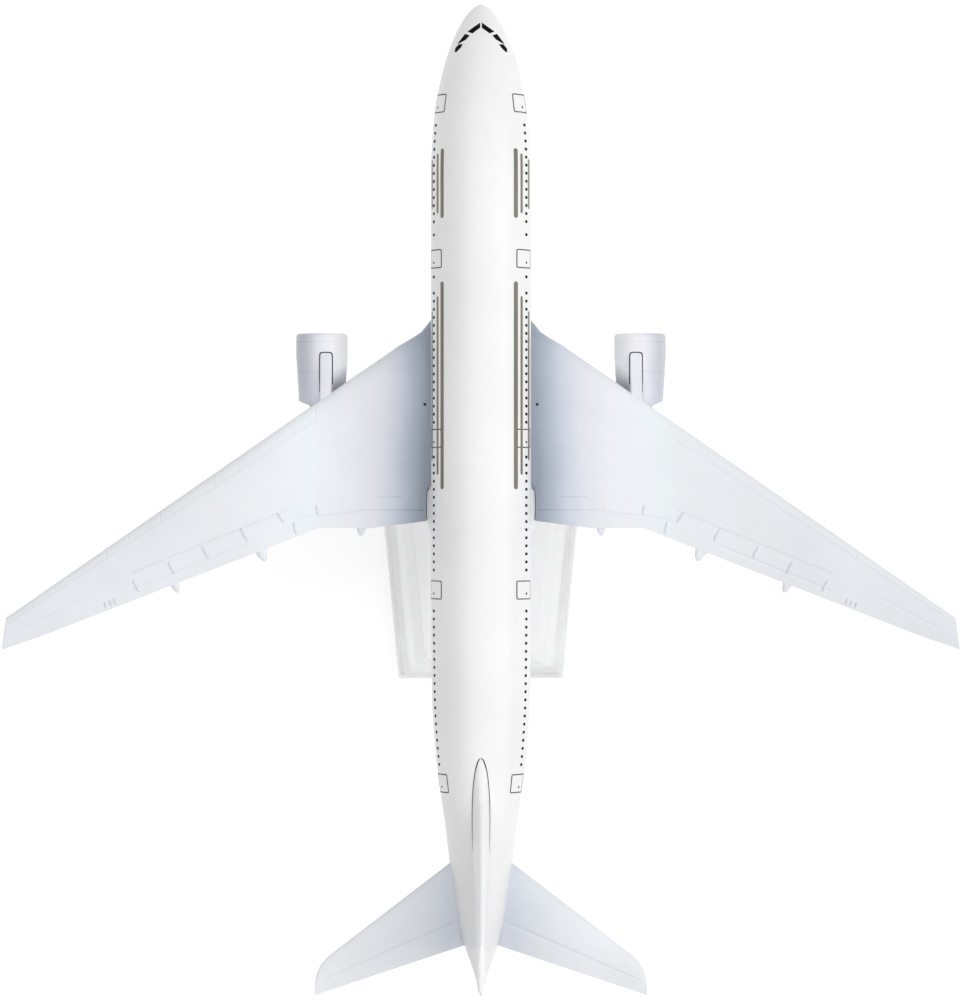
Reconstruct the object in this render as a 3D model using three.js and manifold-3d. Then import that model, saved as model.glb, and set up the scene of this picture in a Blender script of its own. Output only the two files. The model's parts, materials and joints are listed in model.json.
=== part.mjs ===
// A desk model of a twin-engine wide-body airliner, wheels up, on a clear plastic stand.
// Millimetres, +Z up. The nose points to -Y and the left wing to +X. The origin is on the table,
// under the middle of the fuselage. The aircraft has a frame of its own, on the fuselage axis.
import * as THREE from "three";
import { mergeVertices } from "three/addons/utils/BufferGeometryUtils.js";
import Module from "manifold-3d";

const wasm = await Module();
wasm.setup();

// Driving dimensions.
const LENGTH = 160; // nose to tail
const RADIUS = 8.08; // fuselage
const AXIS_HEIGHT = 62; // fuselage axis above the table
const WALL = 1.2; // fuselage shells
const GAP = 0.1; // between pieces that are fixed to each other
const FINE = 24; // sides of a large round piece
const COARSE = 12; // sides of a small round piece
const TINY = 8; // sides of a pin, a shank or its hole
const THREAD_RADIUS = 0.45; // pilot hole of every screw
const SCREW = { shank: 0.4, head: 1.0, thick: 0.6, length: 7 };

// ---- Curves ----

const clamp = (x, low, high) => Math.min(Math.max(x, low), high);

// Which pair of points x lies between.
function spanOf(points, x) {
  const after = points.findIndex(([px]) => px > x);
  return after < 0 ? points.length - 2 : Math.max(after - 1, 0);
}

// Straight lines through the points.
function along(points) {
  return (x) => {
    const i = spanOf(points, x);
    const [[x0, y0], [x1, y1]] = [points[i], points[i + 1]];
    return y0 + ((x - x0) / (x1 - x0)) * (y1 - y0);
  };
}

// A smooth curve through the points that never overshoots them.
function through(points) {
  const last = points.length - 1;
  const slope = (i) => (points[i + 1][1] - points[i][1]) / (points[i + 1][0] - points[i][0]);
  const tangents = points.map((_, i) => {
    if (i === 0) return slope(0);
    if (i === last) return slope(last - 1);
    const [before, after] = [slope(i - 1), slope(i)];
    return before * after <= 0 ? 0 : (2 * before * after) / (before + after);
  });
  return (raw) => {
    const x = clamp(raw, points[0][0], points[last][0]);
    const i = spanOf(points, x);
    const width = points[i + 1][0] - points[i][0];
    const t = (x - points[i][0]) / width;
    const rise = points[i + 1][1] - points[i][1];
    const ease = t * t * (3 - 2 * t);
    const start = tangents[i] * width * t * (1 - t) ** 2;
    const end = tangents[i + 1] * width * t * t * (t - 1);
    return points[i][1] + rise * ease + start + end;
  };
}

// ---- Solids ----

// A closed geometry as a manifold-3d solid that faces out.
function solidOf(geometry) {
  const bare = geometry.clone();
  bare.deleteAttribute("normal");
  bare.deleteAttribute("uv");
  const merged = mergeVertices(bare, 1e-4);
  const corners = merged.index.array;
  const faces = [];
  for (let i = 0; i < corners.length; i += 3) {
    const [a, b, c] = corners.slice(i, i + 3);
    if (a !== b && b !== c && c !== a) faces.push([a, b, c]);
  }
  const vertProperties = new Float32Array(merged.attributes.position.array);
  const build = (list) =>
    new wasm.Manifold(
      new wasm.Mesh({ numProp: 3, vertProperties, triVerts: new Uint32Array(list.flat()) }),
    );
  const made = build(faces);
  return made.volume() < 0 ? build(faces.map(([a, b, c]) => [a, c, b])) : made;
}

// A solid through matching outlines, with flat ends that are filled across from side to side.
function loft(outlines) {
  const count = outlines[0].length;
  const last = outlines.length - 1;
  const at = (ring, i) => ring * count + (i % count);
  const index = [];
  for (let ring = 0; ring < last; ring++) {
    for (let i = 0; i < count; i++) {
      const [a, b] = [at(ring, i), at(ring, i + 1)];
      const [c, d] = [at(ring + 1, i + 1), at(ring + 1, i)];
      index.push(a, b, c, a, c, d);
    }
  }
  for (let i = 0; i < Math.floor(count / 2); i++) {
    const [a, b, c, d] = [i, i + 1, count - 2 - i, count - 1 - i];
    index.push(at(0, a), at(0, c), at(0, b), at(0, a), at(0, d), at(0, c));
    index.push(at(last, a), at(last, b), at(last, c), at(last, a), at(last, c), at(last, d));
  }
  const geometry = new THREE.BufferGeometry();
  geometry.setAttribute("position", new THREE.Float32BufferAttribute(outlines.flat(2), 3));
  geometry.setIndex(index);
  return solidOf(geometry);
}

function box([x0, x1], [y0, y1], [z0, z1]) {
  const geometry = new THREE.BoxGeometry(x1 - x0, y1 - y0, z1 - z0);
  return solidOf(geometry.translate((x0 + x1) / 2, (y0 + y1) / 2, (z0 + z1) / 2));
}

// An upright cylinder.
function post(x, y, radius, [z0, z1], sides = COARSE) {
  const geometry = new THREE.CylinderGeometry(radius, radius, z1 - z0, sides);
  return solidOf(geometry.rotateX(Math.PI / 2).translate(x, y, (z0 + z1) / 2));
}

// A body turned about the Y axis, from a profile of radius and y.
function turned(profile, sides = FINE) {
  return solidOf(new THREE.LatheGeometry(profile.map(([r, y]) => new THREE.Vector2(r, y)), sides));
}

// An outline in Y and Z, pushed along X.
function sideProfile(points, [x0, x1]) {
  const shape = new THREE.Shape(points.map(([y, z]) => new THREE.Vector2(y, z)));
  const geometry = new THREE.ExtrudeGeometry(shape, { depth: x1 - x0, bevelEnabled: false });
  const turn = new THREE.Matrix4().makeBasis(
    new THREE.Vector3(0, 1, 0),
    new THREE.Vector3(0, 0, 1),
    new THREE.Vector3(1, 0, 0),
  );
  return solidOf(geometry.applyMatrix4(turn).translate(x0, 0, 0));
}

// An outline in X and Y, pushed along Z.
function planProfile(points, [z0, z1]) {
  const shape = new THREE.Shape(points.map(([x, y]) => new THREE.Vector2(x, y)));
  const geometry = new THREE.ExtrudeGeometry(shape, { depth: z1 - z0, bevelEnabled: false });
  return solidOf(geometry.translate(0, 0, z0));
}

const join = (...solids) => solids.reduce((all, one) => all.add(one));
const cut = (whole, ...tools) => tools.reduce((left, tool) => left.subtract(tool), whole);
const mirrored = (solid) => solid.mirror([1, 0, 0]);
const bothSides = (solid) => join(solid, mirrored(solid));

// The main body of a cut, without the crumbs.
function largest(solid) {
  return solid.decompose().reduce((a, b) => (a.volume() > b.volume() ? a : b));
}

// ---- Fuselage ----

const NOSE_Z = -2.2; // the nose tip droops below the axis
const NOSE = { side: 27, top: 30, bottom: 24 }; // how far back each view of the nose opens out
const TAIL_START = 100;
const VOID = { start: 4, end: 148 }; // the hollow, from the nose
const tailSide = through([
  [TAIL_START, RADIUS],
  [112, 7.92],
  [122, 7.25],
  [132, 5.9],
  [145, 4.2],
  [152, 2.65],
  [156.5, 1.1],
  [LENGTH, 0.2],
]);
const tailTop = through([
  [TAIL_START, RADIUS],
  [125, 8.05],
  [140, 7.7],
  [150, 7.1],
  [157, 6.3],
  [LENGTH, 5.3],
]);
const tailBottom = through([
  [TAIL_START, -RADIUS],
  [110, -7.7],
  [120, -6.4],
  [130, -4.3],
  [140, -1.9],
  [150, 0.7],
  [157, 2.8],
  [LENGTH, 4.3],
]);
const opening = (share, power) => (1 - (1 - Math.min(share, 1)) ** 2) ** power;
const noseSide = (s) => RADIUS * opening(s / NOSE.side, 0.6);
const noseTop = (s) => NOSE_Z + (RADIUS - NOSE_Z) * opening(s / NOSE.top, 0.78);
const noseBottom = (s) => NOSE_Z - (RADIUS + NOSE_Z) * opening(s / NOSE.bottom, 0.6);

// Half-width, top and bottom of the fuselage at a distance s from the nose.
function sectionAt(s) {
  if (s < TAIL_START) return [noseSide(s), noseTop(s), noseBottom(s)];
  return [tailSide(s), tailTop(s), tailBottom(s)];
}

function fuselageRing(s, grow, sides) {
  const [side, top, bottom] = sectionAt(clamp(s, 0.05, LENGTH));
  const middle = (top + bottom) / 2;
  return Array.from({ length: sides }, (_, i) => {
    const angle = ((i + 0.5) * 2 * Math.PI) / sides;
    const height = (top - bottom) / 2 + grow;
    return [(side + grow) * Math.cos(angle), s - LENGTH / 2, middle + height * Math.sin(angle)];
  });
}

const noseStations = Array.from({ length: 9 }, (_, i) => NOSE.side * (i / 8) ** 2);
const tailStations = Array.from({ length: 12 }, (_, i) => TAIL_START + 5 * (i + 1));

function fuselage(grow) {
  const inner = [...noseStations.slice(1), NOSE.top, TAIL_START, ...tailStations.slice(0, -1)];
  const stations = [-grow, ...inner, LENGTH + grow];
  return loft(stations.map((s) => fuselageRing(s, grow, FINE)));
}

function hollow() {
  const tail = [TAIL_START, 110, 118, 126, 134, 141, VOID.end];
  const stations = [VOID.start, 7, 11, 16, 22, NOSE.top, ...tail];
  return loft(stations.map((s) => fuselageRing(s, -WALL, 16)));
}

// Everything above (+1) or below (-1) the line along the fuselage's widest points.
function halfSpace(side) {
  const line = [0.05, 3, 7, 12, 18, 24, 30, TAIL_START, 110, 120, 130, 140, 150, LENGTH].map((s) => {
    const [, top, bottom] = sectionAt(s);
    return [s - LENGTH / 2, (top + bottom) / 2 + (side * GAP) / 2];
  });
  const first = [-LENGTH, line[0][1]];
  const last = [LENGTH, line.at(-1)[1]];
  const far = side * 2 * RADIUS;
  const outline = [first, ...line, last, [LENGTH, far], [-LENGTH, far]];
  return sideProfile(outline, [-2 * RADIUS, 2 * RADIUS]);
}

const body = fuselage(0);
const clearance = fuselage(GAP);
const shell = body.subtract(hollow());

// ---- Fasteners: screws driven from below, and where they go ----

const UPPER_POST = 1.3; // radius of a post under the crown
const fuselageScrews = { front: -52, rear: 38 };
const bellyScrews = { front: -27.5, rear: 11 };
const WING_SCREW = { x: 3.6, y: -13.5 };
const TONGUE = { x: [0.4, 9], y: [-20, -7], z: [-5.6, -3.6] };
const SOCKET = { body: 2.4, flange: 3.2, bore: 1.6, top: -2.5, bottom: -9.5 };
const BELLY_FLOOR = -9;

// A screw whose head's underside is at z, with its point up.
function screw(x, y, z) {
  const head = post(x, y, SCREW.head, [z - SCREW.thick, z]);
  return join(head, post(x, y, SCREW.shank, [z - GAP, z + SCREW.length], TINY));
}

// The hole for a screw whose head's underside is at z, open all the way down.
const pilot = (x, y, z) => post(x, y, THREAD_RADIUS, [-2 * RADIUS, z + SCREW.length + GAP], TINY);
const headSink = (x, y, z) => post(x, y, SCREW.head + GAP, [-2 * RADIUS, z + GAP / 2]);

const floorAt = (y) => sectionAt(y + LENGTH / 2)[2];
const headSeat = (y) => floorAt(y) + 1.9; // how deep a fuselage screw's head is sunk
const BOSS_DEPTH = 1.5; // of material above a sunk head
const WING_SEAT = -6.6; // heights of the heads of the wing and belly screws
const BELLY_SEAT = -8.3;
const screws = [
  ...Object.entries(fuselageScrews).map(([end, y]) => ["fuselage_screw_" + end, 0, y, headSeat(y)]),
  ...Object.entries(bellyScrews).map(([end, y]) => ["belly_screw_" + end, 0, y, BELLY_SEAT]),
];
const wingPilots = () => bothSides(pilot(WING_SCREW.x, WING_SCREW.y, WING_SEAT));

function upperShell() {
  const crown = RADIUS;
  const posts = [
    ...Object.values(fuselageScrews).map((y) =>
      post(0, y, UPPER_POST, [headSeat(y) + BOSS_DEPTH + GAP, crown]),
    ),
    ...Object.values(bellyScrews).map((y) => post(0, y, UPPER_POST, [-5, crown])),
    bothSides(post(WING_SCREW.x, WING_SCREW.y, UPPER_POST, [TONGUE.z[1] + GAP, crown])),
  ];
  const upper = join(shell.intersect(halfSpace(1)), join(...posts).intersect(body));
  const pilots = screws.map(([, x, y, z]) => pilot(x, y, z));
  return largest(cut(upper, ...pilots, wingPilots(), finTab(GAP), bothSides(tailTongue(GAP))));
}

function lowerShell() {
  const bosses = Object.values(fuselageScrews).map((y) =>
    post(0, y, 1.9, [-RADIUS, headSeat(y) + BOSS_DEPTH]),
  );
  const lower = join(shell.intersect(halfSpace(-1)), join(...bosses).intersect(body));
  const holes = [
    ...Object.values(fuselageScrews).map((y) => headSink(0, y, headSeat(y))),
    ...Object.values(fuselageScrews).map((y) => pilot(0, y, headSeat(y))),
    ...Object.values(bellyScrews).map((y) => post(0, y, UPPER_POST + GAP, [-9, -4])),
    post(0, 0, SOCKET.body + GAP, [-10, -2], FINE),
    bothSides(headSink(WING_SCREW.x, WING_SCREW.y, WING_SEAT)),
    wingPilots(),
    bothSides(wingTongue(GAP)),
    bothSides(tailTongue(GAP)),
  ];
  return largest(cut(lower, ...holes));
}

// ---- Wings, tailplanes and fin: thin lofted surfaces ----

// Half the thickness of a streamlined section, as a share of its thickness, at a share of its chord.
function swelling(c) {
  return 5 * (0.2969 * Math.sqrt(c) - 0.126 * c - 0.3516 * c ** 2 + 0.2843 * c ** 3 - 0.1015 * c ** 4);
}

const EDGE = 0.15; // half the thickness of a trailing edge

// The outline of a section as pairs of chord share and height, from the trailing edge over the top.
function airfoil(thickness, steps, grow, edge = EDGE) {
  const shares = Array.from({ length: steps + 1 }, (_, i) => (1 + Math.cos((i * Math.PI) / steps)) / 2);
  const top = shares.map((c) => [c, swelling(c) * thickness + edge * c + grow]);
  const under = top.slice(0, -1).reverse().map(([c, h]) => [c, -h]);
  return [...top, ...under];
}

const rad = THREE.MathUtils.degToRad;
const WING = {
  steps: 7,
  stations: [7.4, 8.2, 9, 9.7, 11.05, 13.1, 18.1, 26.3, 42, 59, 76.4],
  slant: 0.9, // how much further out the tip's trailing edge is
  leading: along([[7.4, -29.9], [9.7, -27], [11.05, -26.1], [13.1, -24.9], [76.4, 19.2]]),
  trailing: along([[7.4, 3.6], [9.4, 3.8], [18.1, 4.93], [26.3, 4.9], [77.3, 24.8]]),
  thickness: along([[7.4, 5.6], [9, 4.3], [11.2, 3.7], [26.3, 2.5], [50, 1.6], [76.4, 0.9]]),
  height: (x) => -5.3 + (x - 8) * Math.tan(rad(6)),
};
const TAIL = {
  steps: 6,
  stations: [2.2, 5.4, 14, 24.3, 25.6, 26.4, 26.7],
  slant: 0,
  leading: along([[2.2, 56.6], [5.37, 59], [24.3, 73.4], [25.6, 74.8], [26.4, 76.4], [26.7, 78]]),
  trailing: along([[2.2, 71.9], [26.7, 79.85]]),
  thickness: along([[2.2, 2], [5.4, 1.7], [24.3, 0.95], [26.7, 0.7]]),
  height: (x) => 3.4 + (x - 4) * Math.tan(rad(6.5)),
};

// A wing-like loft to the left of the fuselage.
function lifting(surface, grow) {
  const last = surface.stations.at(-1);
  return loft(
    surface.stations.map((x) => {
      const slant = x === last ? surface.slant : 0;
      const front = surface.leading(x) - grow;
      const chord = surface.trailing(x + slant) + grow - front;
      return airfoil(surface.thickness(x), surface.steps, grow).map(([c, height]) => [
        x + slant * c,
        front + chord * c,
        surface.height(x) + height,
      ]);
    }),
  );
}

function wingTongue(grow) {
  const [x, y, z] = [TONGUE.x, TONGUE.y, TONGUE.z].map(([a, b]) => [a - grow, b + grow]);
  return box(x, y, z);
}

const CANOE = { half: [1, 4.6, 0.7], tips: [[19.5, 6.2], [35, 10.3], [49, 15.4]] };

// A flap track fairing: a long drop under the trailing edge, square to it, ending at its tip.
function canoe([x, y]) {
  const sweep = Math.atan(WING.trailing(x + 1) - WING.trailing(x));
  const geometry = new THREE.SphereGeometry(1, 8, 6).rotateX(Math.PI / 2).scale(...CANOE.half);
  const centre = [x + CANOE.half[1] * Math.sin(sweep), y - CANOE.half[1] * Math.cos(sweep)];
  return solidOf(geometry.rotateZ(sweep).translate(...centre, WING.height(centre[0]) - 0.5));
}

const ROOT_NOTCH = { x: 8.95, y: -1.3 }; // where the wing root stands clear of the belly fairing
const WING_PIN = { x: 9.1, y: -15.2, radius: 0.28, z: [-6.6, -3.1] };

function wing() {
  const notch = box([0, ROOT_NOTCH.x], [ROOT_NOTCH.y, 10], [-12, 4]);
  const panel = cut(join(lifting(WING, 0), ...CANOE.tips.map(canoe)), clearance, notch);
  const holes = [
    pilot(WING_SCREW.x, WING_SCREW.y, WING_SEAT),
    post(WING_PIN.x, WING_PIN.y, WING_PIN.radius + 0.07, [WING_PIN.z[0] - GAP, 0], TINY),
  ];
  return largest(cut(join(largest(panel), wingTongue(0)), ...holes));
}

function tailTongue(grow) {
  return box([0.4 - grow, 4 + grow], [62 - grow, 68 + grow], [2.8 - grow, 4 + grow]);
}

const tailplane = () => join(largest(lifting(TAIL, 0).subtract(clearance)), tailTongue(0));

const FIN = {
  heights: [5.5, 8, 8.6, 9.6, 11.5, 15, 22.5, 30, 30.6],
  leading: along([[5.5, 41.5], [8, 41.8], [8.6, 45.5], [9.6, 48.6], [11.5, 51.2], [15, 54.7], [30.6, 69.8]]),
  trailing: along([[5.5, 71.7], [30.6, 77.2]]),
  thickness: along([[5.5, 2.8], [15, 2.2], [30, 1.1], [30.6, 0.7]]),
  edge: along([[5.5, EDGE], [30, 0.5], [30.6, 0.4]]), // half the thickness of its trailing edge
};

function finTab(grow) {
  return box([-0.6 - grow, 0.6 + grow], [54 - grow, 66 + grow], [4.2 - grow, 9]);
}

function fin() {
  const blade = loft(
    FIN.heights.map((z) =>
      airfoil(FIN.thickness(z), 7, 0, FIN.edge(z)).map(([c, half]) => {
        const front = FIN.leading(z);
        return [half, front + (FIN.trailing(z) - front) * c, z];
      }),
    ),
  );
  return join(largest(blade.subtract(clearance)), finTab(0));
}

// ---- Belly fairing ----

const BELLY = {
  middle: -4.6,
  squareness: 2.6,
  stations: [-40, -37, -34, -31, -27, -23, -12, 0, 3.8, 6.5, 9, 13, 18, 22],
  width: through([[-40, 3], [-34, 6.6], [-27, 8.3], [-22, 8.65], [3, 8.65], [8, 7.7], [15, 6.2], [22, 3]]),
  floor: through([[-40, -8], [-34, -8.7], [-27, BELLY_FLOOR], [7, BELLY_FLOOR], [15, -8.6], [22, -8]]),
};

function bellyRing(y) {
  const deep = BELLY.middle - BELLY.floor(y);
  const squared = (value) => Math.sign(value) * Math.abs(value) ** (2 / BELLY.squareness);
  return Array.from({ length: FINE }, (_, i) => {
    const angle = ((i + 0.5) * 2 * Math.PI) / FINE;
    const x = BELLY.width(y) * squared(Math.cos(angle));
    return [x, y, BELLY.middle + deep * squared(Math.sin(angle))];
  });
}

function bellyFairing() {
  const bulge = loft(BELLY.stations.map(bellyRing));
  const overWing = box([6, 10], [-45, ROOT_NOTCH.y], [-4.5, 2]);
  const sinks = Object.values(bellyScrews).flatMap((y) => [
    headSink(0, y, BELLY_SEAT),
    pilot(0, y, BELLY_SEAT),
  ]);
  const wingHeads = post(WING_SCREW.x, WING_SCREW.y, SCREW.head + 2 * GAP, [-7.5, -6]);
  const wingCut = bothSides(join(lifting(WING, GAP), wingTongue(GAP), overWing, wingHeads));
  return largest(cut(bulge, clearance, wingCut, ...sinks, post(0, 0, SOCKET.body + GAP, [-12, 0], FINE)));
}

// ---- Engines, in a frame at the intake's centre with Y running aft ----

const ENGINE = { x: 25.96, y: -26.8, z: -9 };
const COWL = [
  [3.5, 0.6],
  [3.6, 2.5],
  [3.6, 8],
  [3.55, 11],
  [3.75, 11],
  [3.95, 7.7],
  [4.1, 5],
  [4.2, 3.6],
  [4.2, 1],
  [4.08, 0.35],
  [3.8, 0],
  [3.58, 0.2],
];
const CORE = [
  [0, 6.1],
  [0.45, 6.1],
  [0.45, 4.3],
  [1.05, 4.3],
  [1.6, 5.2],
  [2.3, 7],
  [2.6, 9.5],
  [2.45, 12],
  [1.75, 15.3],
  [1.5, 15.3],
  [1.4, 14.5],
  [1.05, 14.5],
  [0.8, 16],
  [0, 18.2],
];
const VANES = 8;
const FAN = { blades: 14, tip: 3.38, hub: 1.05, pitch: rad(38), y: 3.2 };

// The vanes stand either side of the pylon, so none is at the top.
function engineCore() {
  const vane = (_, i) =>
    solidOf(
      new THREE.BoxGeometry(0.3, 1, 1.9)
        .translate(0, 7.7, 2.57)
        .rotateY(((i + 0.5) * 2 * Math.PI) / VANES),
    );
  return join(turned(CORE, 16), ...Array.from({ length: VANES }, vane));
}

function fan() {
  const hub = turned([[0, 1.2], [0.4, 1.45], [0.8, 2], [FAN.hub, 2.7], [FAN.hub, 4.1], [0, 4.1]], 14);
  const height = FAN.tip - 0.8;
  const blade = (_, i) =>
    solidOf(
      new THREE.BoxGeometry(0.24, 1.5, height)
        .rotateZ(FAN.pitch)
        .translate(0, FAN.y, 0.8 + height / 2)
        .rotateY((i * 2 * Math.PI) / FAN.blades),
    );
  const bore = solidOf(new THREE.CylinderGeometry(0.45, 0.45, 2, TINY).translate(0, 3.6, 0));
  return join(hub, ...Array.from({ length: FAN.blades }, blade)).subtract(bore);
}

const fanShaft = () => solidOf(new THREE.CylinderGeometry(0.35, 0.35, 3.25, TINY).translate(0, 4.375, 0));

// ---- Pylons, in the aircraft's frame ----

const PYLON = { x: 25.2, half: 0.95, front: -23.6, side: -14, rear: -3 };
const squarer = (share) => Math.sign(share) * Math.abs(share) ** 0.45; // turns a round front into a blunt one

function pylonBlank(grow) {
  const { x, front, side, rear } = PYLON;
  const half = PYLON.half + grow;
  const nose = Array.from({ length: 7 }, (_, i) => {
    const angle = Math.PI + (i * Math.PI) / 6;
    return [x + half * squarer(Math.cos(angle)), front - grow + half * (1 + squarer(Math.sin(angle)))];
  });
  const plan = [...nose, [x + half, side], [x + 0.3 + grow, rear + grow], [x - 0.3 - grow, rear + grow], [x - half, side]];
  const foot = ENGINE.z + 2.7 - grow;
  const groove = ENGINE.z + 3.95 - grow;
  const outline = [
    [front - grow, groove],
    [front - grow, -4.75 + grow],
    [-22.3, -4.3 + grow],
    [-18, -3.4 + grow],
    [-16, -3.2 + grow],
    [-8, -3 + grow],
    [rear + grow, -4 + grow],
    [rear + grow, -4.9 - grow],
    [-8, -5.6 - grow],
    [-12.5, foot - 0.5],
    [-18 - grow, foot],
    [-18 - grow, groove],
  ];
  return planProfile(plan, [-12, 2]).intersect(sideProfile(outline, [20, 30]));
}

const pylon = () => largest(pylonBlank(0).subtract(lifting(WING, GAP)));

function engineCowl() {
  const groove = pylonBlank(GAP).translate([-ENGINE.x, -ENGINE.y, -ENGINE.z]);
  return largest(turned([...COWL, COWL[0]]).subtract(groove));
}

// ---- Stand, in the table's frame ----

const BASE = { front: -22, rear: 31.1, wideFront: 19.2, wideRear: 14.2, corner: 0.5, top: 5.4, rim: 2.6 };
const BASE_WALL = { side: 2, top: 1.2 };
const PANEL = { side: 3.3, end: 2.4 };
const SLOPE = { side: 1.7, end: 0.9 };

// The base's tapered outline with round corners, drawn in by two insets.
function baseRing(z, side, end) {
  const { front, rear, wideFront, wideRear, corner } = BASE;
  const half = (y) => wideFront + ((y - front) / (rear - front)) * (wideRear - wideFront) - side;
  const radius = Math.max(corner - end, 0.4);
  const [y0, y1] = [front + end + radius, rear - end - radius];
  const arc = (x, y, start) =>
    Array.from({ length: 5 }, (_, i) => {
      const angle = start + (i * Math.PI) / 8;
      return [x + radius * Math.cos(angle), y + radius * Math.sin(angle), z];
    });
  const [x0, x1] = [half(y0) - radius, half(y1) - radius];
  return [
    ...arc(x1, y1, 0),
    ...arc(-x1, y1, Math.PI / 2),
    ...arc(-x0, y0, Math.PI),
    ...arc(x0, y0, 1.5 * Math.PI),
  ];
}

const ARM = {
  y: 9, // where the arm's foot is centred
  pegs: [2.8, 15.2],
  // height, centre, half-width and half-length of each section
  sections: [
    [BASE.top + GAP, 9, 5, 11.5],
    [6.6, 9, 4.6, 11],
    [9, 8.6, 3.2, 9.4],
    [16, 7.2, 2.4, 7.6],
    [30, 4.2, 2.2, 6.2],
    [42, 1.6, 2.5, 5.2],
    [49, 0.3, 3, 4.2],
    [51.6, 0, 3.2, 3.6],
  ],
};
const PIN = { radius: 1.5, z: [44, 58.5] };

function standBase() {
  const { side, end } = PANEL;
  const outside = loft([
    baseRing(0, 0.3, 0.3),
    baseRing(0.3, 0, 0),
    baseRing(BASE.rim - 0.4, 0, 0),
    baseRing(BASE.rim, 0.4, 0.4),
    baseRing(BASE.rim, side, end),
    baseRing(BASE.top - 0.4, side + SLOPE.side, end + SLOPE.end),
    baseRing(BASE.top, side + SLOPE.side + 0.5, end + SLOPE.end + 0.5),
  ]);
  const wall = BASE_WALL.side;
  const ceiling = BASE.top - BASE_WALL.top;
  const inside = loft([
    baseRing(-1, wall, wall),
    baseRing(BASE.rim - BASE_WALL.top, wall, wall),
    baseRing(BASE.rim - BASE_WALL.top, side + 1.2, end + 1.2),
    baseRing(ceiling, side + SLOPE.side + 1.2, end + SLOPE.end + 1.2),
  ]);
  const pegHoles = ARM.pegs.map((y) => post(0, y, 0.9, [3, 7]));
  return cut(outside, inside, ...pegHoles, pilot(0, ARM.y, BASE.top));
}

function standArm() {
  const ring = ([z, y, wide, long]) =>
    Array.from({ length: FINE }, (_, i) => {
      const angle = ((i + 0.5) * 2 * Math.PI) / FINE;
      return [wide * Math.cos(angle), y + long * Math.sin(angle), z];
    });
  const pegs = ARM.pegs.map((y) => post(0, y, 0.8, [BASE.top - 1, BASE.top + 1]));
  const bores = [
    post(0, 0, PIN.radius + GAP, [PIN.z[0] - GAP, 60], FINE),
    pilot(0, ARM.y, BASE.top - BASE_WALL.top),
  ];
  return cut(join(loft(ARM.sections.map(ring)), ...pegs), ...bores);
}

const armScrew = () => screw(0, ARM.y, BASE.top - BASE_WALL.top - GAP);
const pivotPin = () => post(0, 0, PIN.radius, PIN.z, FINE);
const pivotWasher = () => post(0, 0, 3, [51.7, 52.4], FINE).subtract(post(0, 0, 1.6, [50, 54], FINE));

function standSocket() {
  const { body: radius, flange, bore, top, bottom } = SOCKET;
  const outside = join(
    post(0, 0, flange, [bottom, BELLY_FLOOR - GAP], FINE),
    post(0, 0, radius, [bottom, top], FINE),
  );
  return outside.subtract(post(0, 0, bore, [bottom - 1, top - 0.5], FINE));
}

// ---- Materials ----

const finish = (color, roughness, metalness = 0, opacity = 1) =>
  new THREE.MeshStandardMaterial({ color, roughness, metalness, opacity, transparent: opacity < 1 });
const whitePaint = () => finish(0xf4f5f7, 0.3);
const wingPaint = () => finish(0xd6dbe4, 0.42);
const cowlPaint = () => finish(0xdedfe6, 0.38);
const darkPaint = () => finish(0x4a4d55, 0.4);
const steel = () => finish(0xb9bcc0, 0.3, 1);
const clear = () => finish(0xeef2f4, 0.12, 0, 0.5);

// ---- Assembly ----

function piece(name, solid, material) {
  const { numProp, vertProperties, triVerts } = solid.getMesh();
  const corners = Array.from(triVerts).flatMap((v) =>
    Array.from(vertProperties.subarray(v * numProp, v * numProp + 3)),
  );
  const geometry = new THREE.BufferGeometry();
  geometry.setAttribute("position", new THREE.Float32BufferAttribute(corners, 3));
  geometry.computeVertexNormals();
  const mesh = new THREE.Mesh(geometry, material);
  mesh.name = name;
  return mesh;
}

const fan3D = fan();
const core3D = engineCore();
const cowl3D = engineCowl();
const pylon3D = pylon();
const wing3D = wing();
const tailplane3D = tailplane();

// The pieces of one side, built for the left. The right side is its mirror image.
function sidePieces(side) {
  const group = new THREE.Group();
  const engine = new THREE.Group();
  engine.position.set(ENGINE.x, ENGINE.y, ENGINE.z);
  engine.add(
    piece("engine_cowl_" + side, cowl3D, cowlPaint()),
    piece("engine_core_" + side, core3D, cowlPaint()),
    piece("fan_shaft_" + side, fanShaft(), steel()),
  );
  const { x, y, radius, z } = WING_PIN;
  group.add(
    engine,
    piece("wing_" + side, wing3D, wingPaint()),
    piece("tailplane_" + side, tailplane3D, wingPaint()),
    piece("pylon_" + side, pylon3D, cowlPaint()),
    piece("wing_pin_" + side, post(x, y, radius, z, TINY), steel()),
    piece("wing_screw_" + side, screw(WING_SCREW.x, WING_SCREW.y, WING_SEAT), steel()),
  );
  return group;
}

// The fans are the same casting on both sides, so they aren't mirrored.
function fanPiece(side, direction) {
  const mesh = piece("fan_" + side, fan3D, darkPaint());
  mesh.position.set(direction * ENGINE.x, ENGINE.y, ENGINE.z);
  return mesh;
}

function aircraft() {
  const group = new THREE.Group();
  group.position.z = AXIS_HEIGHT;
  const rightSide = sidePieces("right");
  rightSide.scale.x = -1;
  group.add(
    piece("fuselage_upper_shell", upperShell(), whitePaint()),
    piece("fuselage_lower_shell", lowerShell(), whitePaint()),
    piece("belly_fairing", bellyFairing(), whitePaint()),
    piece("fin", fin(), whitePaint()),
    piece("stand_socket", standSocket(), steel()),
    sidePieces("left"),
    rightSide,
    fanPiece("left", 1),
    fanPiece("right", -1),
  );
  for (const [name, x, y, z] of screws) group.add(piece(name, screw(x, y, z), steel()));
  return group;
}

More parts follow.
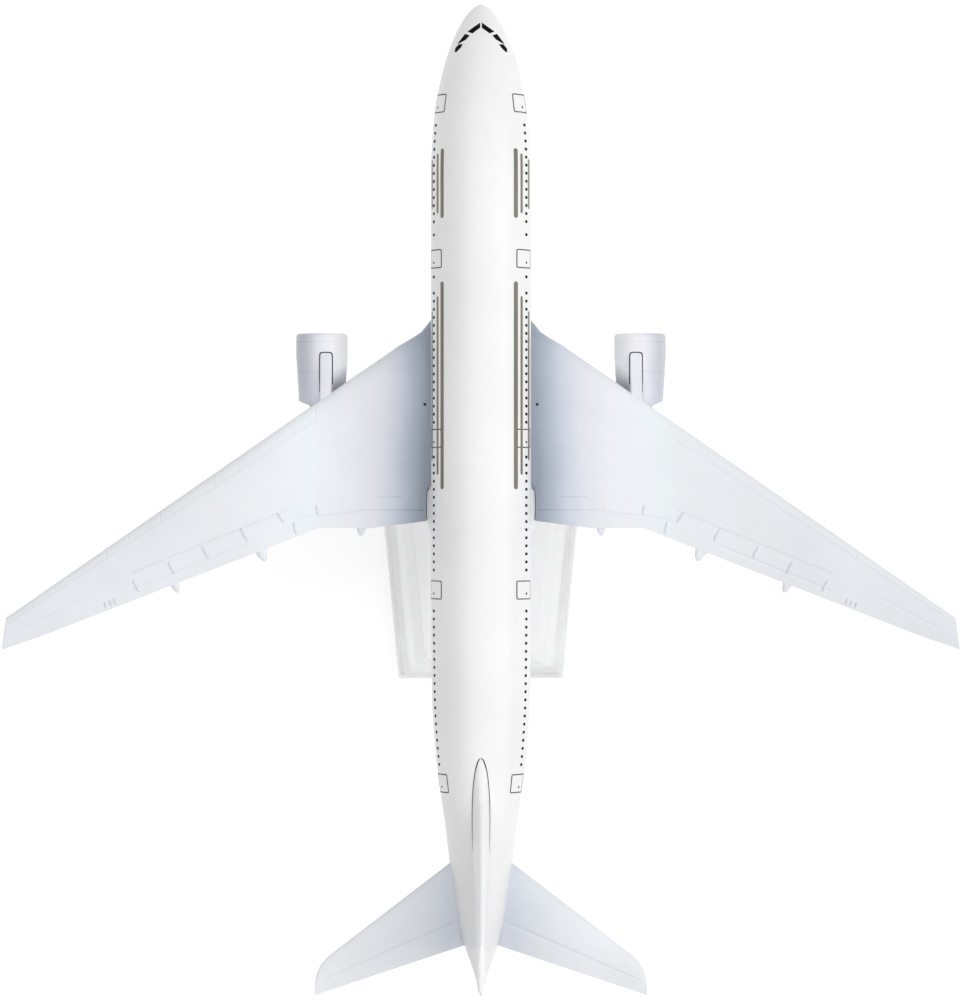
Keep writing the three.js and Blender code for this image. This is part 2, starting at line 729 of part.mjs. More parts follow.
function stand() {
  const group = new THREE.Group();
  group.add(
    piece("stand_base", standBase(), clear()),
    piece("stand_arm", standArm(), clear()),
    piece("arm_screw", armScrew(), steel()),
    piece("pivot_pin", pivotPin(), steel()),
    piece("pivot_washer", pivotWasher(), clear()),
  );
  return group;
}

const model = new THREE.Group();
model.add(stand(), aircraft());
export default model;
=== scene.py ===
import json
import math

import bmesh
import bpy
import numpy as np
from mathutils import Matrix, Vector


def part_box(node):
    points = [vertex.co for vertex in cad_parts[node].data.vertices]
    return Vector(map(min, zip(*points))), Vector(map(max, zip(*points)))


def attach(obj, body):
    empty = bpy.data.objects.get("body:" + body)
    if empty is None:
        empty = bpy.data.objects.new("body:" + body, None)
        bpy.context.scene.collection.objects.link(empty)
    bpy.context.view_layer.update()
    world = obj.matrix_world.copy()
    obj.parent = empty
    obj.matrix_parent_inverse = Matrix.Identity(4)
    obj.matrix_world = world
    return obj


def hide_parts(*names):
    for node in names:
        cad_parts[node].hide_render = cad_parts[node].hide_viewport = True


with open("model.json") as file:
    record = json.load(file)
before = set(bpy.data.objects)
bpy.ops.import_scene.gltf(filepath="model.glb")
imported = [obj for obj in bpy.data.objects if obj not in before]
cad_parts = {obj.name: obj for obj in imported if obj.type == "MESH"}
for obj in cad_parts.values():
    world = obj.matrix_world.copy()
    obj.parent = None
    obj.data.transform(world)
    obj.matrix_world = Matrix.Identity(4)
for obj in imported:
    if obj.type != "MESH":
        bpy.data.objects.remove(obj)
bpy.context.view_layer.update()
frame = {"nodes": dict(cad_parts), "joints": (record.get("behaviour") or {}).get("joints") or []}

MM = 0.001


def box_mm(node):
    """Lowest and highest corner of a CAD node, in millimetres."""
    low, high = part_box(node)
    return np.array(low) / MM, np.array(high) / MM


joints = {joint["name"]: joint for joint in frame["joints"]}

# ---- Driving sizes, in millimetres ----

UPPER_LOW, UPPER_HIGH = box_mm("fuselage_upper_shell")
NOSE_Y, TAIL_Y = UPPER_LOW[1], UPPER_HIGH[1]
LENGTH = TAIL_Y - NOSE_Y
RADIUS = 8.08  # of the fuselage
ENGINE_X, _, ENGINE_Z = np.array(joints["fan_left_spin"]["pos_m"]) / MM
ENGINE_Y = box_mm("engine_cowl_left")[0][1]
AXIS_Z = ENGINE_Z + 9  # the fuselage axis is 9 mm above the engines'
WALL = 1.2
TINY = 0.002  # radius that stands for the axis of a turned body
SEAM = 0.1  # width of the parting line

# ---- Curves ----


def along(points):
    """Straight lines through the points."""
    xs, ys = zip(*points)
    return lambda x: float(np.interp(x, xs, ys))


def through(points):
    """A smooth curve through the points that never overshoots them."""
    xs, ys = (np.array(values, float) for values in zip(*points))
    slopes = np.diff(ys) / np.diff(xs)
    before, after = slopes[:-1], slopes[1:]
    same = before * after > 0
    inner = np.zeros(len(before))
    inner[same] = 2 * before[same] * after[same] / (before[same] + after[same])
    tangents = np.concatenate([slopes[:1], inner, slopes[-1:]])

    def curve(x):
        x = np.clip(x, xs[0], xs[-1])
        i = np.clip(np.searchsorted(xs, x, side="right") - 1, 0, len(xs) - 2)
        width = xs[i + 1] - xs[i]
        t = (x - xs[i]) / width
        ease = t * t * (3 - 2 * t)
        start = tangents[i] * width * t * (1 - t) ** 2
        end = tangents[i + 1] * width * t * t * (t - 1)
        return float(ys[i] + (ys[i + 1] - ys[i]) * ease + start + end)

    return curve


def smooth_step(x, low, high):
    t = min(max((x - low) / (high - low), 0), 1)
    return t * t * (3 - 2 * t)


# ---- Meshes ----


def mesh_object(name, verts, faces):
    """A mesh object from points in millimetres, with doubled points and empty faces taken out."""
    mesh = bpy.data.meshes.new(name)
    mesh.from_pydata([tuple(np.array(v, float) * MM) for v in verts], [], [tuple(f) for f in faces])
    bm = bmesh.new()
    bm.from_mesh(mesh)
    bmesh.ops.remove_doubles(bm, verts=bm.verts[:], dist=0.002 * MM)
    bmesh.ops.dissolve_degenerate(bm, edges=bm.edges[:], dist=0.001 * MM)
    bmesh.ops.recalc_face_normals(bm, faces=bm.faces[:])
    bm.to_mesh(mesh)
    bm.free()
    obj = bpy.data.objects.new(name, mesh)
    bpy.context.scene.collection.objects.link(obj)
    return obj


def shade(obj, angle):
    """Smooth faces, with a hard edge where two faces meet at more than the angle in degrees."""
    bm = bmesh.new()
    bm.from_mesh(obj.data)
    for face in bm.faces:
        face.smooth = True
    for edge in bm.edges:
        edge.smooth = len(edge.link_faces) == 2 and edge.calc_face_angle(0) < math.radians(angle)
    bm.to_mesh(obj.data)
    bm.free()


def loft(rings, closed=False):
    """Points and faces of a solid through rings of matching points. A closed one joins its ends."""
    rings = np.array(rings, float)
    count, size = rings.shape[:2]
    verts = rings.reshape(-1, 3)
    faces = []
    for ring in range(count if closed else count - 1):
        a, b = ring * size, ((ring + 1) % count) * size
        faces += [(a + i, a + (i + 1) % size, b + (i + 1) % size, b + i) for i in range(size)]
    if not closed:
        for start, flip in ((0, True), ((count - 1) * size, False)):
            for i in range(size // 2):
                corners = [start + i, start + i + 1, start + size - 2 - i, start + size - 1 - i]
                corners = list(dict.fromkeys(corners))
                if len(corners) > 2:
                    faces.append(corners[::-1] if flip else corners)
    return verts, faces


def circle(count):
    """Cosines and sines of even steps round a circle."""
    return [(math.cos(angle), math.sin(angle)) for angle in 2 * math.pi * np.arange(count) / count]


def gather(parts):
    """Several (points, faces) pairs as one."""
    verts, faces, offset = [], [], 0
    for points, polygons in parts:
        verts.extend(points)
        faces.extend([tuple(i + offset for i in polygon) for polygon in polygons])
        offset += len(points)
    return verts, faces


def mirror_x(part):
    points, faces = part
    return [(-p[0], p[1], p[2]) for p in points], [tuple(reversed(f)) for f in faces]


def turned(part, angle):
    """A part turned about the Y axis."""
    c, s = math.cos(angle), math.sin(angle)
    return [(x * c + z * s, y, -x * s + z * c) for x, y, z in part[0]], part[1]


def moved(part, step):
    return [tuple(np.array(p) + step) for p in part[0]], part[1]


def lathe(profile, sides, centre=(0, 0, 0), axis="y"):
    """A body turned about an axis along Y or Z, from a profile of radius and distance along the axis."""
    closed = profile[0] == profile[-1] and profile[0][0] > 0
    points = profile[:-1] if closed else profile
    rings = []
    for c, s in circle(sides):
        rings.append([(r * c, d, r * s) if axis == "y" else (r * c, r * s, d) for r, d in points])
    rings = np.array(rings) + np.array(centre)
    size = len(points)
    faces = []
    for ring in range(sides):
        a, b = ring * size, ((ring + 1) % sides) * size
        for i in range(size if closed else size - 1):
            j = (i + 1) % size
            faces.append((a + i, a + j, b + j, b + i))
    return rings.reshape(-1, 3), faces


def rounded(profile, radius, steps=4):
    """The profile with its corners cut by small arcs, apart from its two ends."""
    points = [np.array(p, float) for p in profile]
    out = [tuple(points[0])]
    for before, corner, after in zip(points, points[1:], points[2:]):
        back, ahead = before - corner, after - corner
        reach = min(radius, 0.45 * np.linalg.norm(back), 0.45 * np.linalg.norm(ahead))
        start = corner + back / np.linalg.norm(back) * reach
        end = corner + ahead / np.linalg.norm(ahead) * reach
        for i in range(steps + 1):
            t = i / steps
            out.append(tuple((1 - t) ** 2 * start + 2 * t * (1 - t) * corner + t**2 * end))
    out.append(tuple(points[-1]))
    return out


def plate(outline, place, rise, sink, cells):
    """A thin closed plate. Its outline lies in a chart, cut into cells, and place lays it on the body."""
    bm = bmesh.new()
    bm.faces.new([bm.verts.new((u, v, 0)) for u, v in outline])
    for axis, size in enumerate(cells):
        if not size:
            continue
        values = [p[axis] for p in outline]
        normal = Vector((axis == 0, axis == 1, 0))
        level = math.floor(min(values) / size) * size + size
        while level < max(values) - 1e-6:
            geometry = bm.verts[:] + bm.edges[:] + bm.faces[:]
            bmesh.ops.bisect_plane(bm, geom=geometry, plane_co=level * normal, plane_no=normal, dist=1e-5)
            level += size
    bm.verts.index_update()
    flat = [(v.co.x, v.co.y) for v in bm.verts]
    count = len(flat)
    points = [place(u, v, rise) for u, v in flat] + [place(u, v, -sink) for u, v in flat]
    faces = [[v.index for v in f.verts] for f in bm.faces]
    faces += [[v.index + count for v in reversed(f.verts)] for f in bm.faces]
    for edge in bm.edges:
        if edge.is_boundary:
            loop = edge.link_loops[0]
            a, b = loop.vert.index, loop.link_loop_next.vert.index
            faces.append([b, a, a + count, b + count])
    bm.free()
    return points, faces


def frame_strip(outer, inner, place, rise, sink, closed=True):
    """A raised line between two matching outlines."""
    rings = []
    for a, b in zip(outer, inner):
        rings.append([place(*a, -sink), place(*a, rise), place(*b, rise), place(*b, -sink)])
    return loft(rings, closed)


def refined(outline, steps, least=0.0):
    """A closed outline with each side that is longer than least cut into steps."""
    out = []
    for (u0, v0), (u1, v1) in zip(outline, [*outline[1:], outline[0]]):
        count = steps if math.hypot(u1 - u0, v1 - v0) > least else 1
        out += [(u0 + (u1 - u0) * i / count, v0 + (v1 - v0) * i / count) for i in range(count)]
    return out


def round_corners(centres, radius, steps):
    """Quarter circles about four centres, starting in the first quadrant."""
    points = []
    for quarter, (x, y) in enumerate(centres):
        for i in range(steps + 1):
            angle = math.pi / 2 * (quarter + i / steps)
            points.append((x + radius * math.cos(angle), y + radius * math.sin(angle)))
    return points


def round_rect(width, height, radius, steps=4):
    """A rectangle with round corners about the origin."""
    x, y = width / 2 - radius, height / 2 - radius
    return round_corners([(x, y), (-x, y), (-x, -y), (x, -y)], radius, steps)


def finish(obj, material, slot, replaces=(), body="aircraft", angle=35):
    """Shades and paints an object, parents it to its body's empty and hides the CAD nodes that it stands for.
    """
    shade(obj, angle)
    obj.data.materials.clear()
    obj.data.materials.append(material)
    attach(obj, body)
    if replaces:
        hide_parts(*replaces)


def piece(name, part, *look, **ties):
    """A finished piece made from points and faces."""
    finish(mesh_object(name, *part), *look, **ties)


# ---- Materials ----


class Nodes:
    """A node material under construction, with its Principled shader."""

    def __init__(self, name, **inputs):
        self.material = bpy.data.materials.new(name)
        self.material.use_nodes = True
        self.tree = self.material.node_tree
        self.shader = self.tree.nodes["Principled BSDF"]
        for socket, value in inputs.items():
            self.shader.inputs[socket.replace("_", " ")].default_value = value
        self.place = self.add("ShaderNodeTexCoord").outputs["Object"]

    def fill(self, sockets, values):
        """Gives each socket a number, a colour or another node's output."""
        for socket, value in zip(sockets, values):
            if hasattr(value, "links"):
                self.tree.links.new(value, socket)
            else:
                socket.default_value = value

    def add(self, kind, inputs=None, **settings):
        node = self.tree.nodes.new(kind)
        for key, value in settings.items():
            setattr(node, key, value)
        inputs = inputs or {}
        self.fill([node.inputs[name] for name in inputs], inputs.values())
        return node

    def noise(self, scale, detail=3, roughness=0.5, stretch=(1, 1, 1)):
        place = self.add("ShaderNodeMapping", {"Scale": stretch, "Vector": self.place}).outputs["Vector"]
        inputs = {"Scale": scale, "Detail": detail, "Roughness": roughness, "Vector": place}
        return self.add("ShaderNodeTexNoise", inputs).outputs["Fac"]

    def ramp(self, value, *stops):
        node = self.add("ShaderNodeValToRGB", {"Fac": value})
        elements = node.color_ramp.elements
        ends = (elements[0], elements[1])
        for element, (position, colour) in zip(ends, (stops[0], stops[-1])):
            element.position = position
            element.color = (*colour, 1)
        for position, colour in stops[1:-1]:
            elements.new(position).color = (*colour, 1)
        return node.outputs["Color"]

    def range(self, value, low, high, start=0.0, end=1.0):
        inputs = {"Value": value, "From Min": start, "From Max": end, "To Min": low, "To Max": high}
        return self.add("ShaderNodeMapRange", inputs).outputs["Result"]

    def mix(self, factor, a, b, blend="MIX"):
        node = self.add("ShaderNodeMix", data_type="RGBA", blend_type=blend)
        self.fill([socket for socket in node.inputs if socket.enabled], (factor, a, b))
        return next(socket for socket in node.outputs if socket.enabled)

    def maths(self, operation, a, b=0.0, c=0.0):
        node = self.add("ShaderNodeMath", operation=operation)
        self.fill(node.inputs, (a, b, c))
        return node.outputs["Value"]

    def axis(self, name):
        return self.add("ShaderNodeSeparateXYZ", {"Vector": self.place}).outputs[name]

    def bump(self, height, strength, distance):
        inputs = {"Strength": strength, "Distance": distance, "Height": height}
        self.fill([self.shader.inputs["Normal"]], [self.add("ShaderNodeBump", inputs).outputs["Normal"]])

    def colour(self, output):
        self.fill([self.shader.inputs["Base Color"]], [output])

    def roughness(self, output):
        self.fill([self.shader.inputs["Roughness"]], [output])


def sprayed(name, dark, light, rough, coat=0.0, peel=0.05):
    """Sprayed enamel on cast metal: faint clouds of tone, orange peel and specks of dust."""
    n = Nodes(name, Coat_Weight=coat, Coat_Roughness=0.2)
    clouds = n.noise(70, 4, 0.55)
    n.base = n.ramp(clouds, (0.3, dark), (0.7, light))
    n.specks = n.range(n.noise(2600, 2, 0.6), 0.0, 1.0, 0.68, 0.76)
    n.colour(n.mix(n.maths("MULTIPLY", n.specks, 0.10), n.base, (*[c * 0.78 for c in dark], 1)))
    n.roughness(n.range(n.noise(420, 3), rough - 0.06, rough + 0.08))
    height = n.maths("MULTIPLY_ADD", n.noise(900, 2, 0.4), 0.7, n.maths("MULTIPLY", n.specks, 0.5))
    n.bump(height, peel, 0.00006)
    return n


def enamel_with_painted_shade(name, place, stops, rough, stray=0.5):
    """Enamel whose tone carries painted shade and light, blown over from one colour to the next. place makes
    the value in millimetres.
    """
    n = sprayed(name, (0.94, 0.94, 0.94), (1, 1, 1), rough, peel=0.08)
    start, end = stops[0][0], stops[-1][0]
    drift = n.range(n.noise(90, 4, 0.6), -stray, stray)
    spot = n.range(n.maths("ADD", place(n), drift), 0, 1, start, end)
    tone = n.ramp(spot, *[((x - start) / (end - start), colour) for x, colour in stops])
    n.tone = n.mix(1.0, n.base, tone, "MULTIPLY")
    n.colour(n.mix(n.maths("MULTIPLY", n.specks, 0.10), n.tone, (0.5, 0.52, 0.56, 1)))
    return n


def outboard(n):
    """Distance from the aircraft's middle plane in millimetres."""
    return n.maths("MULTIPLY", n.maths("ABSOLUTE", n.axis("X")), 1 / MM)


def from_root(n):
    """Distance outboard in millimetres, for the painted shade that leans back along the wing root."""
    return n.maths("SUBTRACT", n.maths("MULTIPLY_ADD", n.axis("Y"), -0.05 / MM, outboard(n)), 0.5)


def white_enamel():
    return sprayed("white_enamel", (0.805, 0.805, 0.81), (0.845, 0.845, 0.85), 0.42, coat=0.12).material


# The wing's grey with painted shade: darker towards the root, where the fuselage shades it. Stops are
# distances outboard in millimetres.
WING_GREY_AND_SHADE = [
    (9.0, (0.30, 0.34, 0.41)),
    (11.3, (0.40, 0.45, 0.53)),
    (13.7, (0.57, 0.60, 0.69)),
    (16.2, (0.69, 0.71, 0.76)),
    (21, (0.78, 0.79, 0.83)),
    (27.5, (0.80, 0.84, 0.87)),
    (42, (0.75, 0.77, 0.80)),
    (73, (0.72, 0.75, 0.78)),
]
# The tailplane's grey with painted shade: darker towards the root, where the fin and fuselage shade it.
TAIL_GREY_AND_SHADE = [
    (5.5, (0.62, 0.65, 0.72)),
    (7.3, (0.66, 0.69, 0.745)),
    (9.7, (0.69, 0.725, 0.765)),
    (12.9, (0.725, 0.745, 0.785)),
    (17.8, (0.755, 0.775, 0.815)),
    (22.6, (0.775, 0.785, 0.815)),
]
# painted light and shade along the engine's width, from its inner edge to its outer edge: lightest just
# inboard of the middle, darkest on the outer flank
COWL_GREY_AND_SHADE = [
    (ENGINE_X - 4.2, (0.70, 0.70, 0.72)),
    (ENGINE_X - 3.0, (0.78, 0.78, 0.81)),
    (ENGINE_X - 1.7, (0.84, 0.84, 0.88)),
    (ENGINE_X + 0.7, (0.76, 0.77, 0.82)),
    (ENGINE_X + 1.8, (0.64, 0.65, 0.71)),
    (ENGINE_X + 3.1, (0.54, 0.55, 0.61)),
    (ENGINE_X + 3.8, (0.56, 0.57, 0.61)),
]


def cowl_grey():
    """Pale violet grey, with painted shade beside the pylon just ahead of the wing, and darker, bluer painted
    shade towards the rear near the wing.
    """
    n = enamel_with_painted_shade("cowl_grey", outboard, COWL_GREY_AND_SHADE, 0.42)
    # painted shade on the inner side beside the pylon, just ahead of the wing
    ahead = n.maths("MULTIPLY_ADD", outboard(n), -0.697, n.maths("MULTIPLY", n.axis("Y"), 1 / MM))
    near_wing = n.range(ahead, 0, 1, -37.2, -34.6)
    inner = n.range(outboard(n), 1, 0, 23.9, 24.6)
    pylon_shade = n.maths("MULTIPLY", n.maths("MULTIPLY", near_wing, inner), 0.75)
    # painted shade: the rear of the cowl, near the wing, turns darker and bluer
    rear = n.maths("MULTIPLY", n.range(n.axis("Y"), 0, 1, -0.024, -0.018), 0.22)
    rear_shaded = n.mix(rear, n.tone, (0.50, 0.54, 0.64, 1))
    n.colour(n.mix(pylon_shade, rear_shaded, (0.16, 0.16, 0.20, 1)))
    return n.material


def core_metal():
    n = sprayed("core_metal", (0.27, 0.27, 0.29), (0.34, 0.34, 0.36), 0.42, peel=0.08)
    n.shader.inputs["Metallic"].default_value = 0.6
    return n.material


def fan_plastic():
    return sprayed("fan_plastic", (0.07, 0.075, 0.085), (0.10, 0.105, 0.115), 0.36).material


def print_black():
    n = sprayed("print_black", (0.003, 0.003, 0.004), (0.008, 0.008, 0.009), 0.6)
    n.shader.inputs["Specular IOR Level"].default_value = 0.05
    return n.material


def print_line():
    n = sprayed("print_line", (0.035, 0.035, 0.037), (0.06, 0.06, 0.062), 0.6)
    n.shader.inputs["Specular IOR Level"].default_value = 0.2
    return n.material


def print_warm():
    """Warm grey bars with a faint metallic sheen."""
    n = sprayed("print_warm", (0.17, 0.155, 0.12), (0.23, 0.21, 0.16), 0.42)
    n.shader.inputs["Metallic"].default_value = 0.3
    return n.material


def machined_steel():
    """Bright zinc-plated steel with fine turning marks."""
    n = Nodes("machined_steel", Metallic=1.0)
    turned = n.noise(1500, 3, 0.6, stretch=(1, 1, 6))
    n.colour(n.ramp(turned, (0.35, (0.47, 0.475, 0.49)), (0.65, (0.63, 0.635, 0.645))))
    n.roughness(n.range(n.noise(900, 3), 0.22, 0.4))
    n.bump(turned, 0.12, 0.00003)
    return n.material


def dark_steel():
    n = Nodes("dark_steel", Metallic=0.9)
    grain = n.noise(1800, 3, 0.6)
    n.colour(n.ramp(grain, (0.35, (0.02, 0.02, 0.025)), (0.65, (0.05, 0.05, 0.055))))
    n.roughness(n.range(grain, 0.35, 0.55))
    return n.material


def clear_plastic():
    """Clear moulded acrylic with faint flow lines and fine scuffs."""
    n = Nodes("clear_plastic", IOR=1.49, Alpha=0.37, Specular_IOR_Level=0.5)
    flow = n.noise(60, 4, 0.6, stretch=(1, 0.35, 1))
    n.colour(n.ramp(flow, (0.3, (0.91, 0.912, 0.915)), (0.7, (0.965, 0.967, 0.97))))
    scuffs = n.range(n.noise(1300, 4, 0.7), 0.0, 1.0, 0.55, 0.8)
    n.roughness(n.range(scuffs, 0.08, 0.26))
    n.bump(flow, 0.06, 0.0003)
    return n.material


WHITE = white_enamel()
# the wing, tail and cowl paints carry painted shade and light in their colour
WING_PAINT = enamel_with_painted_shade("wing_grey", from_root, WING_GREY_AND_SHADE, 0.44, 1.2).material
TAIL_PAINT = enamel_with_painted_shade("tail_grey", outboard, TAIL_GREY_AND_SHADE, 0.44).material
COWL_PAINT = cowl_grey()
CORE_METAL = core_metal()
FAN_PLASTIC = fan_plastic()
BLACK = print_black()
LINE = print_line()
WARM = print_warm()
STEEL = machined_steel()
DARK_STEEL = dark_steel()
CLEAR = clear_plastic()

# ---- Fuselage ----

NOSE_Z = -2.2
NOSE = {"side": 27, "top": 30, "bottom": 24}
TAIL_START = 100
TAIL_SIDE = through(
    [(100, RADIUS), (112, 7.92), (122, 7.25), (132, 5.9), (145, 4.2), (152, 2.65), (156.5, 1.1), (160, 0.2)]
)
TAIL_TOP = through([(100, RADIUS), (125, 8.05), (140, 7.7), (150, 7.1), (157, 6.3), (160, 5.3)])
TAIL_BOTTOM = through(
    [(100, -RADIUS), (110, -7.7), (120, -6.4), (130, -4.3), (140, -1.9), (150, 0.7), (157, 2.8), (160, 4.3)]
)


def opening(share, power):
    return (1 - (1 - min(share, 1)) ** 2) ** power


def section(s):
    """Half-width, half-height and middle height of the fuselage at a distance from the nose."""
    s = min(max(s, 0.02), LENGTH)
    if s < TAIL_START:
        side = RADIUS * opening(s / NOSE["side"], 0.6)
        top = NOSE_Z + (RADIUS - NOSE_Z) * opening(s / NOSE["top"], 0.78)
        bottom = NOSE_Z - (RADIUS + NOSE_Z) * opening(s / NOSE["bottom"], 0.6)
    else:
        side, top, bottom = TAIL_SIDE(s), TAIL_TOP(s), TAIL_BOTTOM(s)
    return side, (top - bottom) / 2, (top + bottom) / 2


def shell_ring(s, upper):
    """The C-shaped section of one shell: the outside from edge to edge, then the inside back again."""
    side, half, middle = section(s)
    sign = 1 if upper else -1
    edge = math.asin(min(SEAM / 2 / half, 0.4))
    outer = [edge, edge, *np.linspace(edge + min(0.012, edge), math.pi - edge - min(0.012, edge), 95)]
    outer += [math.pi - edge, math.pi - edge]
    inset = [0.3, 0.05, *[0] * 95, 0.05, 0.3]
    in_side, in_half = max(side - WALL, 0.25 * side), max(half - WALL, 0.25 * half)
    ring = []
    for angle, lower in zip(outer, inset):
        lower = min(lower, 0.1 * side)
        ring.append(((side - lower) * math.cos(angle), (half - lower) * math.sin(angle)))
    ring += [(in_side * math.cos(a), in_half * math.sin(a)) for a in np.linspace(math.pi - edge, edge, 41)]
    return [(x, s + NOSE_Y, AXIS_Z + middle + sign * z) for x, z in ring]


def fuselage_stations():
    nose = [NOSE["side"] * (i / 70) ** 2 for i in range(70)]
    tail = np.linspace(TAIL_START, LENGTH, 81)
    return [*nose, *np.arange(NOSE["side"], TAIL_START, 1.5), *tail]


def fuselage():
    for name, upper in (("upper_fuselage_shell", True), ("lower_fuselage_shell", False)):
        part = loft([shell_ring(s, upper) for s in fuselage_stations()])
        node = "fuselage_upper_shell" if upper else "fuselage_lower_shell"
        piece(name, part, WHITE, "white_paint", [node])


def on_top(x, y, offset):
    """A point over the upper fuselage, from its plan position."""
    side, half, middle = section(y - NOSE_Y)
    share = min(abs(x) / side, 0.999)
    height = half * math.sqrt(1 - share**2)
    normal = Vector((x / side**2, 0, height / half**2)).normalized()
    return x + normal.x * offset, y, AXIS_Z + middle + height + normal.z * offset


def on_side(side_sign):
    """A chart of one flank: position along the fuselage, and height as it would be on the full section.

    The print sits a little lower on the left flank than on the right.
    """

    def place(y, v, offset):
        side, half, middle = section(y - NOSE_Y)
        share = min(max((v - PRINT_SLIP * side_sign) / RADIUS, -0.999), 0.999)
        width = side * math.sqrt(1 - share**2)
        normal = Vector((width / side**2, 0, share / half)).normalized()
        return side_sign * (width + normal.x * offset), y, AXIS_Z + middle + half * share + normal.z * offset

    return place


# ---- Printed markings ----

PRINT = 0.02  # how far a printed mark stands over the paint
SUNK = 0.06  # and how far it reaches under it
PRINT_SLIP = 0.35  # the right flank's print is higher than the left's by twice this
WINDOW_Z = 3.1
WINDOW_PITCH = 1.30
WINDOW = {"long": 0.46, "tall": 0.78}
DOOR = {"width": 3.05, "height": 4.3, "z": 3.25, "line": 0.17, "corner": 0.3}
DOORS_Y = [-63.6, -38.5, -9.6, 14.8, 45.9]
# first and last window of each run along the fuselage
WINDOW_RUNS = [(-60.1, -44.5), (-42.4, -42.4), (-35.6, -35.6), (-33.0, -11.9), (-6.6, 11.8), (18.2, 42.6)]
# outlines of the front, middle and rear pane of one side, in plan
PANES = [
    [(0.13, -76.8), (2.17, -75.3), (1.4, -74.95), (0.13, -75.9)],
    [(2.57, -74.93), (1.83, -74.63), (2.43, -73.95), (3.44, -73.4), (3.81, -73.3)],
    [(4.25, -72.0), (4.15, -72.6), (3.6, -73.22), (2.92, -73.22), (3.24, -72.65), (4.01, -71.9)],
]


def cockpit_panes():
    parts = []
    for outline in PANES:
        part = plate(refined(outline, 5), on_top, PRINT, SUNK, (0.25, 0.25))
        parts += [part, mirror_x(part)]
    piece("cockpit_panes", gather(parts), BLACK, "window_paint")


def shifted(outline, u, v):
    return [(u + a, v + b) for a, b in outline]


def printed(outlines, place, cells):
    """Plates of print on one flank."""
    return [plate(outline, place, PRINT, SUNK, cells) for outline in outlines]


def cabin_windows():
    window = round_rect(WINDOW["long"], WINDOW["tall"], 0.2)
    door_window = round_rect(0.34, 0.5, 0.16)
    outlines = []
    for first, last in WINDOW_RUNS:
        count = round((last - first) / WINDOW_PITCH) + 1
        outlines += [shifted(window, first + i * WINDOW_PITCH, WINDOW_Z) for i in range(count)]
    outlines += [shifted(door_window, y + 0.6, WINDOW_Z) for y in DOORS_Y]
    parts = printed(outlines, on_side(1), (0, 0.14)) + printed(outlines, on_side(-1), (0, 0.14))
    piece("cabin_windows", gather(parts), BLACK, "window_paint")


def door_outline(line):
    """A door's outline, drawn in by the width of its line or by nothing."""
    corner = DOOR["corner"] - line
    return refined(round_rect(DOOR["width"] - 2 * line, DOOR["height"] - 2 * line, corner, 6), 12, 1.0)


def door_outlines():
    outer, inner = door_outline(0), door_outline(DOOR["line"])
    parts = []
    for place in (on_side(1), on_side(-1)):
        for y in DOORS_Y:
            outlines = [shifted(outline, y, DOOR["z"]) for outline in (outer, inner)]
            parts.append(frame_strip(*outlines, place, PRINT, SUNK))
    piece("door_outlines", gather(parts), LINE, "window_paint")


# Livery bars: where each block starts and ends, and the lower edge, width and step of its bars.
BAR_BLOCKS = [(-56.2, -45.0), (-34.8, -1.4)]
BARS = [(5.15, 0.62, 0.0), (4.15, 0.5, 0.07), (1.75, 0.75, 0.14)]


def livery_bars():
    """Two plain blocks a side of three stripes that step back one after another."""
    outlines = []
    for start, end in BAR_BLOCKS:
        for low, tall, step in BARS:
            length = (1 - 2 * step) * (end - start)
            bar = round_rect(length, tall, 0.49 * tall, 3)
            outlines.append(shifted(bar, (start + end) / 2, low + tall / 2))
    parts = printed(outlines, on_side(1), (1.5, 0.12)) + printed(outlines, on_side(-1), (1.5, 0.12))
    piece("livery_bars", gather(parts), WARM, "stripe_paint")


# ---- Wings, tailplanes and fin ----

EDGE = 0.15


def swelling(c):
    return 5 * (0.2969 * math.sqrt(c) - 0.126 * c - 0.3516 * c**2 + 0.2843 * c**3 - 0.1015 * c**4)


WING = {
    "leading": along([(7.4, -29.9), (9.7, -27), (11.05, -26.1), (13.1, -24.9), (76.4, 19.2), (77.3, 19.83)]),
    "trailing": along([(7.4, 3.6), (9.4, 3.8), (18.1, 4.93), (26.3, 4.9), (77.3, 24.8)]),
    "thickness": along(
        [(7.4, 5.6), (9, 4.3), (11.2, 3.7), (26.3, 2.5), (50, 1.6), (76.4, 0.9), (77.3, 0.88)]
    ),
    "height": lambda x: -5.3 + (x - 8) * math.tan(math.radians(6)),
    "edge": lambda x: EDGE,
}
TAIL = {
    "leading": along(
        [(2.2, 56.6), (5.37, 59), (24.3, 73.4), (25.2, 74.25), (25.9, 75.2), (26.4, 76.4), (26.7, 78)]
    ),
    "trailing": along([(2.2, 71.9), (26.7, 79.85)]),
    "thickness": along([(2.2, 2), (5.4, 1.7), (24.3, 0.95), (26.7, 0.5)]),
    "height": lambda x: 3.4 + (x - 4) * math.tan(math.radians(6.5)),
    "edge": lambda x: EDGE,
}
FIN = {
    "leading": along(
        [(5.5, 41.5), (8, 41.8), (8.3, 43.5), (8.6, 45.5), (9.6, 48.6), (11.5, 51.2), (15, 54.7)]
        + [(30.6, 69.8)]
    ),
    "trailing": along([(5.5, 71.7), (30.6, 77.2)]),
    "thickness": along([(5.5, 2.8), (15, 2.2), (30, 1.1), (30.6, 0.7)]),
    "edge": along([(5.5, EDGE), (30, 0.5), (30.6, 0.4)]),
}
GROOVE = {"depth": 0.11, "half": 0.13}
# across a groove, between its edges: place and share of depth
GROOVE_STEPS = ((-0.35, 0.9), (0, 1), (0.35, 0.9))


